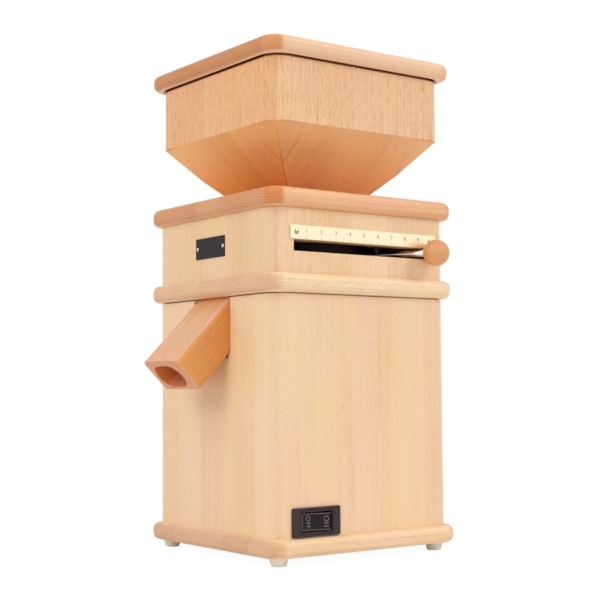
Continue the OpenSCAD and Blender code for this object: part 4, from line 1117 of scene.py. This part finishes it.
class GRAINMILL_OT_stage(Piece):
    """Set up the floor, the light and the camera"""

    bl_idname = "grain_mill.stage"
    bl_label = "Stage"

    def make(self, mill):
        stage = mill.stage
        bpy.context.scene.view_settings.view_transform = "Standard"
        self.floor(stage)
        self.world(stage)
        self.lamp("key_light", stage.key, towards=(0.60, 0.50, 0.62), spread=24)
        self.lamp("front_light", stage.fill, towards=(0.10, -0.62, 0.60), spread=50)
        self.camera()

    def seen(self, finish):
        """1 where the camera, a gloss or a clear piece looks, 0 where light falls."""
        camera, gloss, clear = (finish.output(f"Is {kind} Ray", "LightPath") for kind in (
            "Camera", "Glossy", "Transmission"))
        return camera.math("MAXIMUM", gloss).math("MAXIMUM", clear)

    def floor(self, stage):
        bpy.ops.mesh.primitive_plane_add(size=FLOOR_SIZE, location=(0, 0, 0))
        paper = bpy.context.object
        paper.name = "floor"
        finish = Finish("white_paper")
        grain = finish.noise(finish.coordinates("Object"), 2)
        lit = finish.output("BSDF", "BsdfDiffuse", {}, {
            "Color": finish.mix(grain * 0.1, stage.floor, (0.9, 0.9, 0.9))})
        glow = finish.output("Emission", "Emission", {}, {
            "Color": (1, 1, 1), "Strength": stage.floor_glow})
        look = finish.output("Shader", "MixShader", {}, {
            0: self.seen(finish) * stage.floor_white, 1: lit, 2: glow})
        paper.data.materials.append(finish.end(look))

    def world(self, stage):
        finish = Finish("white_room", world=True)
        light = stage.sky + self.seen(finish) * (1 - stage.sky)
        look = finish.output("Background", "Background", {}, {
            "Color": (1, 1, 1), "Strength": light})
        bpy.context.scene.world = finish.end(look, "OutputWorld")

    def lamp(self, name, power, towards, spread):
        """A sun lamp that stands towards a vector, soft by its spread in degrees."""
        light = bpy.data.lights.new(name, "SUN")
        light.energy = power
        light.angle = math.radians(spread)
        holder = bpy.data.objects.new(name, light)
        holder.rotation_euler = Vector(towards).to_track_quat("Z", "Y").to_euler()
        bpy.context.scene.collection.objects.link(holder)

    def camera(self):
        yaw, pitch, roll = map(math.radians, CAMERA_TURN)
        forward = Vector((
            -math.sin(yaw) * math.cos(pitch), math.cos(yaw) * math.cos(pitch), math.sin(pitch)))
        level = Vector((math.cos(yaw), math.sin(yaw), 0))
        upright = level.cross(forward)
        right = level * math.cos(roll) + upright * math.sin(roll)
        up = upright * math.cos(roll) - level * math.sin(roll)
        turn = Matrix((right, up, -forward)).transposed().to_4x4()
        lens = bpy.data.cameras.new("camera")
        lens.sensor_width = CAMERA_SENSOR
        lens.lens = CAMERA_LENS
        lens.clip_end = FLOOR_SIZE * 2.5
        holder = bpy.data.objects.new("camera", lens)
        holder.matrix_world = Matrix.Translation(CAMERA_AT) @ turn
        bpy.context.scene.collection.objects.link(holder)
        bpy.context.scene.camera = holder


PIECES = (
    GRAINMILL_OT_stage,
    GRAINMILL_OT_boards,
    GRAINMILL_OT_casings,
    GRAINMILL_OT_hopper,
    GRAINMILL_OT_spout,
    GRAINMILL_OT_lever,
    GRAINMILL_OT_scale,
    GRAINMILL_OT_name_plate,
    GRAINMILL_OT_switch,
    GRAINMILL_OT_feet,
    GRAINMILL_OT_stones,
    GRAINMILL_OT_castings,
    GRAINMILL_OT_steel,
    GRAINMILL_OT_motor,
    GRAINMILL_OT_electrics,
)


class GRAINMILL_PT_panel(bpy.types.Panel):
    """Lists the mill's pieces and its settings"""

    bl_idname = "GRAINMILL_PT_panel"
    bl_label = "Grain Mill"
    bl_space_type = "VIEW_3D"
    bl_region_type = "UI"
    bl_category = "Grain Mill"

    def draw(self, context):
        for piece in PIECES:
            self.layout.operator(piece.bl_idname)
        mill = context.scene.grain_mill
        for settings in (mill.wood, mill.metal, mill.fitting, mill.stage):
            box = self.layout.box()
            for name in settings.bl_rna.properties.keys():
                if name not in ("rna_type", "name"):
                    box.prop(settings, name)


CLASSES = (
    BeechSettings, MetalSettings, FittingSettings, StageSettings, MillSettings,
    *PIECES, GRAINMILL_PT_panel)


def register():
    for each in CLASSES:
        bpy.utils.register_class(each)
    bpy.types.Scene.grain_mill = group(MillSettings, "Grain mill", "Settings of the grain mill")


def unregister():
    del bpy.types.Scene.grain_mill
    for each in reversed(CLASSES):
        bpy.utils.unregister_class(each)


def main():
    register()
    bpy.ops.grain_mill.stage()
    bpy.ops.grain_mill.boards()
    bpy.ops.grain_mill.casings()
    bpy.ops.grain_mill.hopper()
    bpy.ops.grain_mill.spout()
    bpy.ops.grain_mill.lever()
    bpy.ops.grain_mill.scale()
    bpy.ops.grain_mill.name_plate()
    bpy.ops.grain_mill.switch()
    bpy.ops.grain_mill.feet()
    bpy.ops.grain_mill.stones()
    bpy.ops.grain_mill.castings()
    bpy.ops.grain_mill.steel()
    bpy.ops.grain_mill.motor()
    bpy.ops.grain_mill.electrics()


if __name__ == "__main__":
    main()
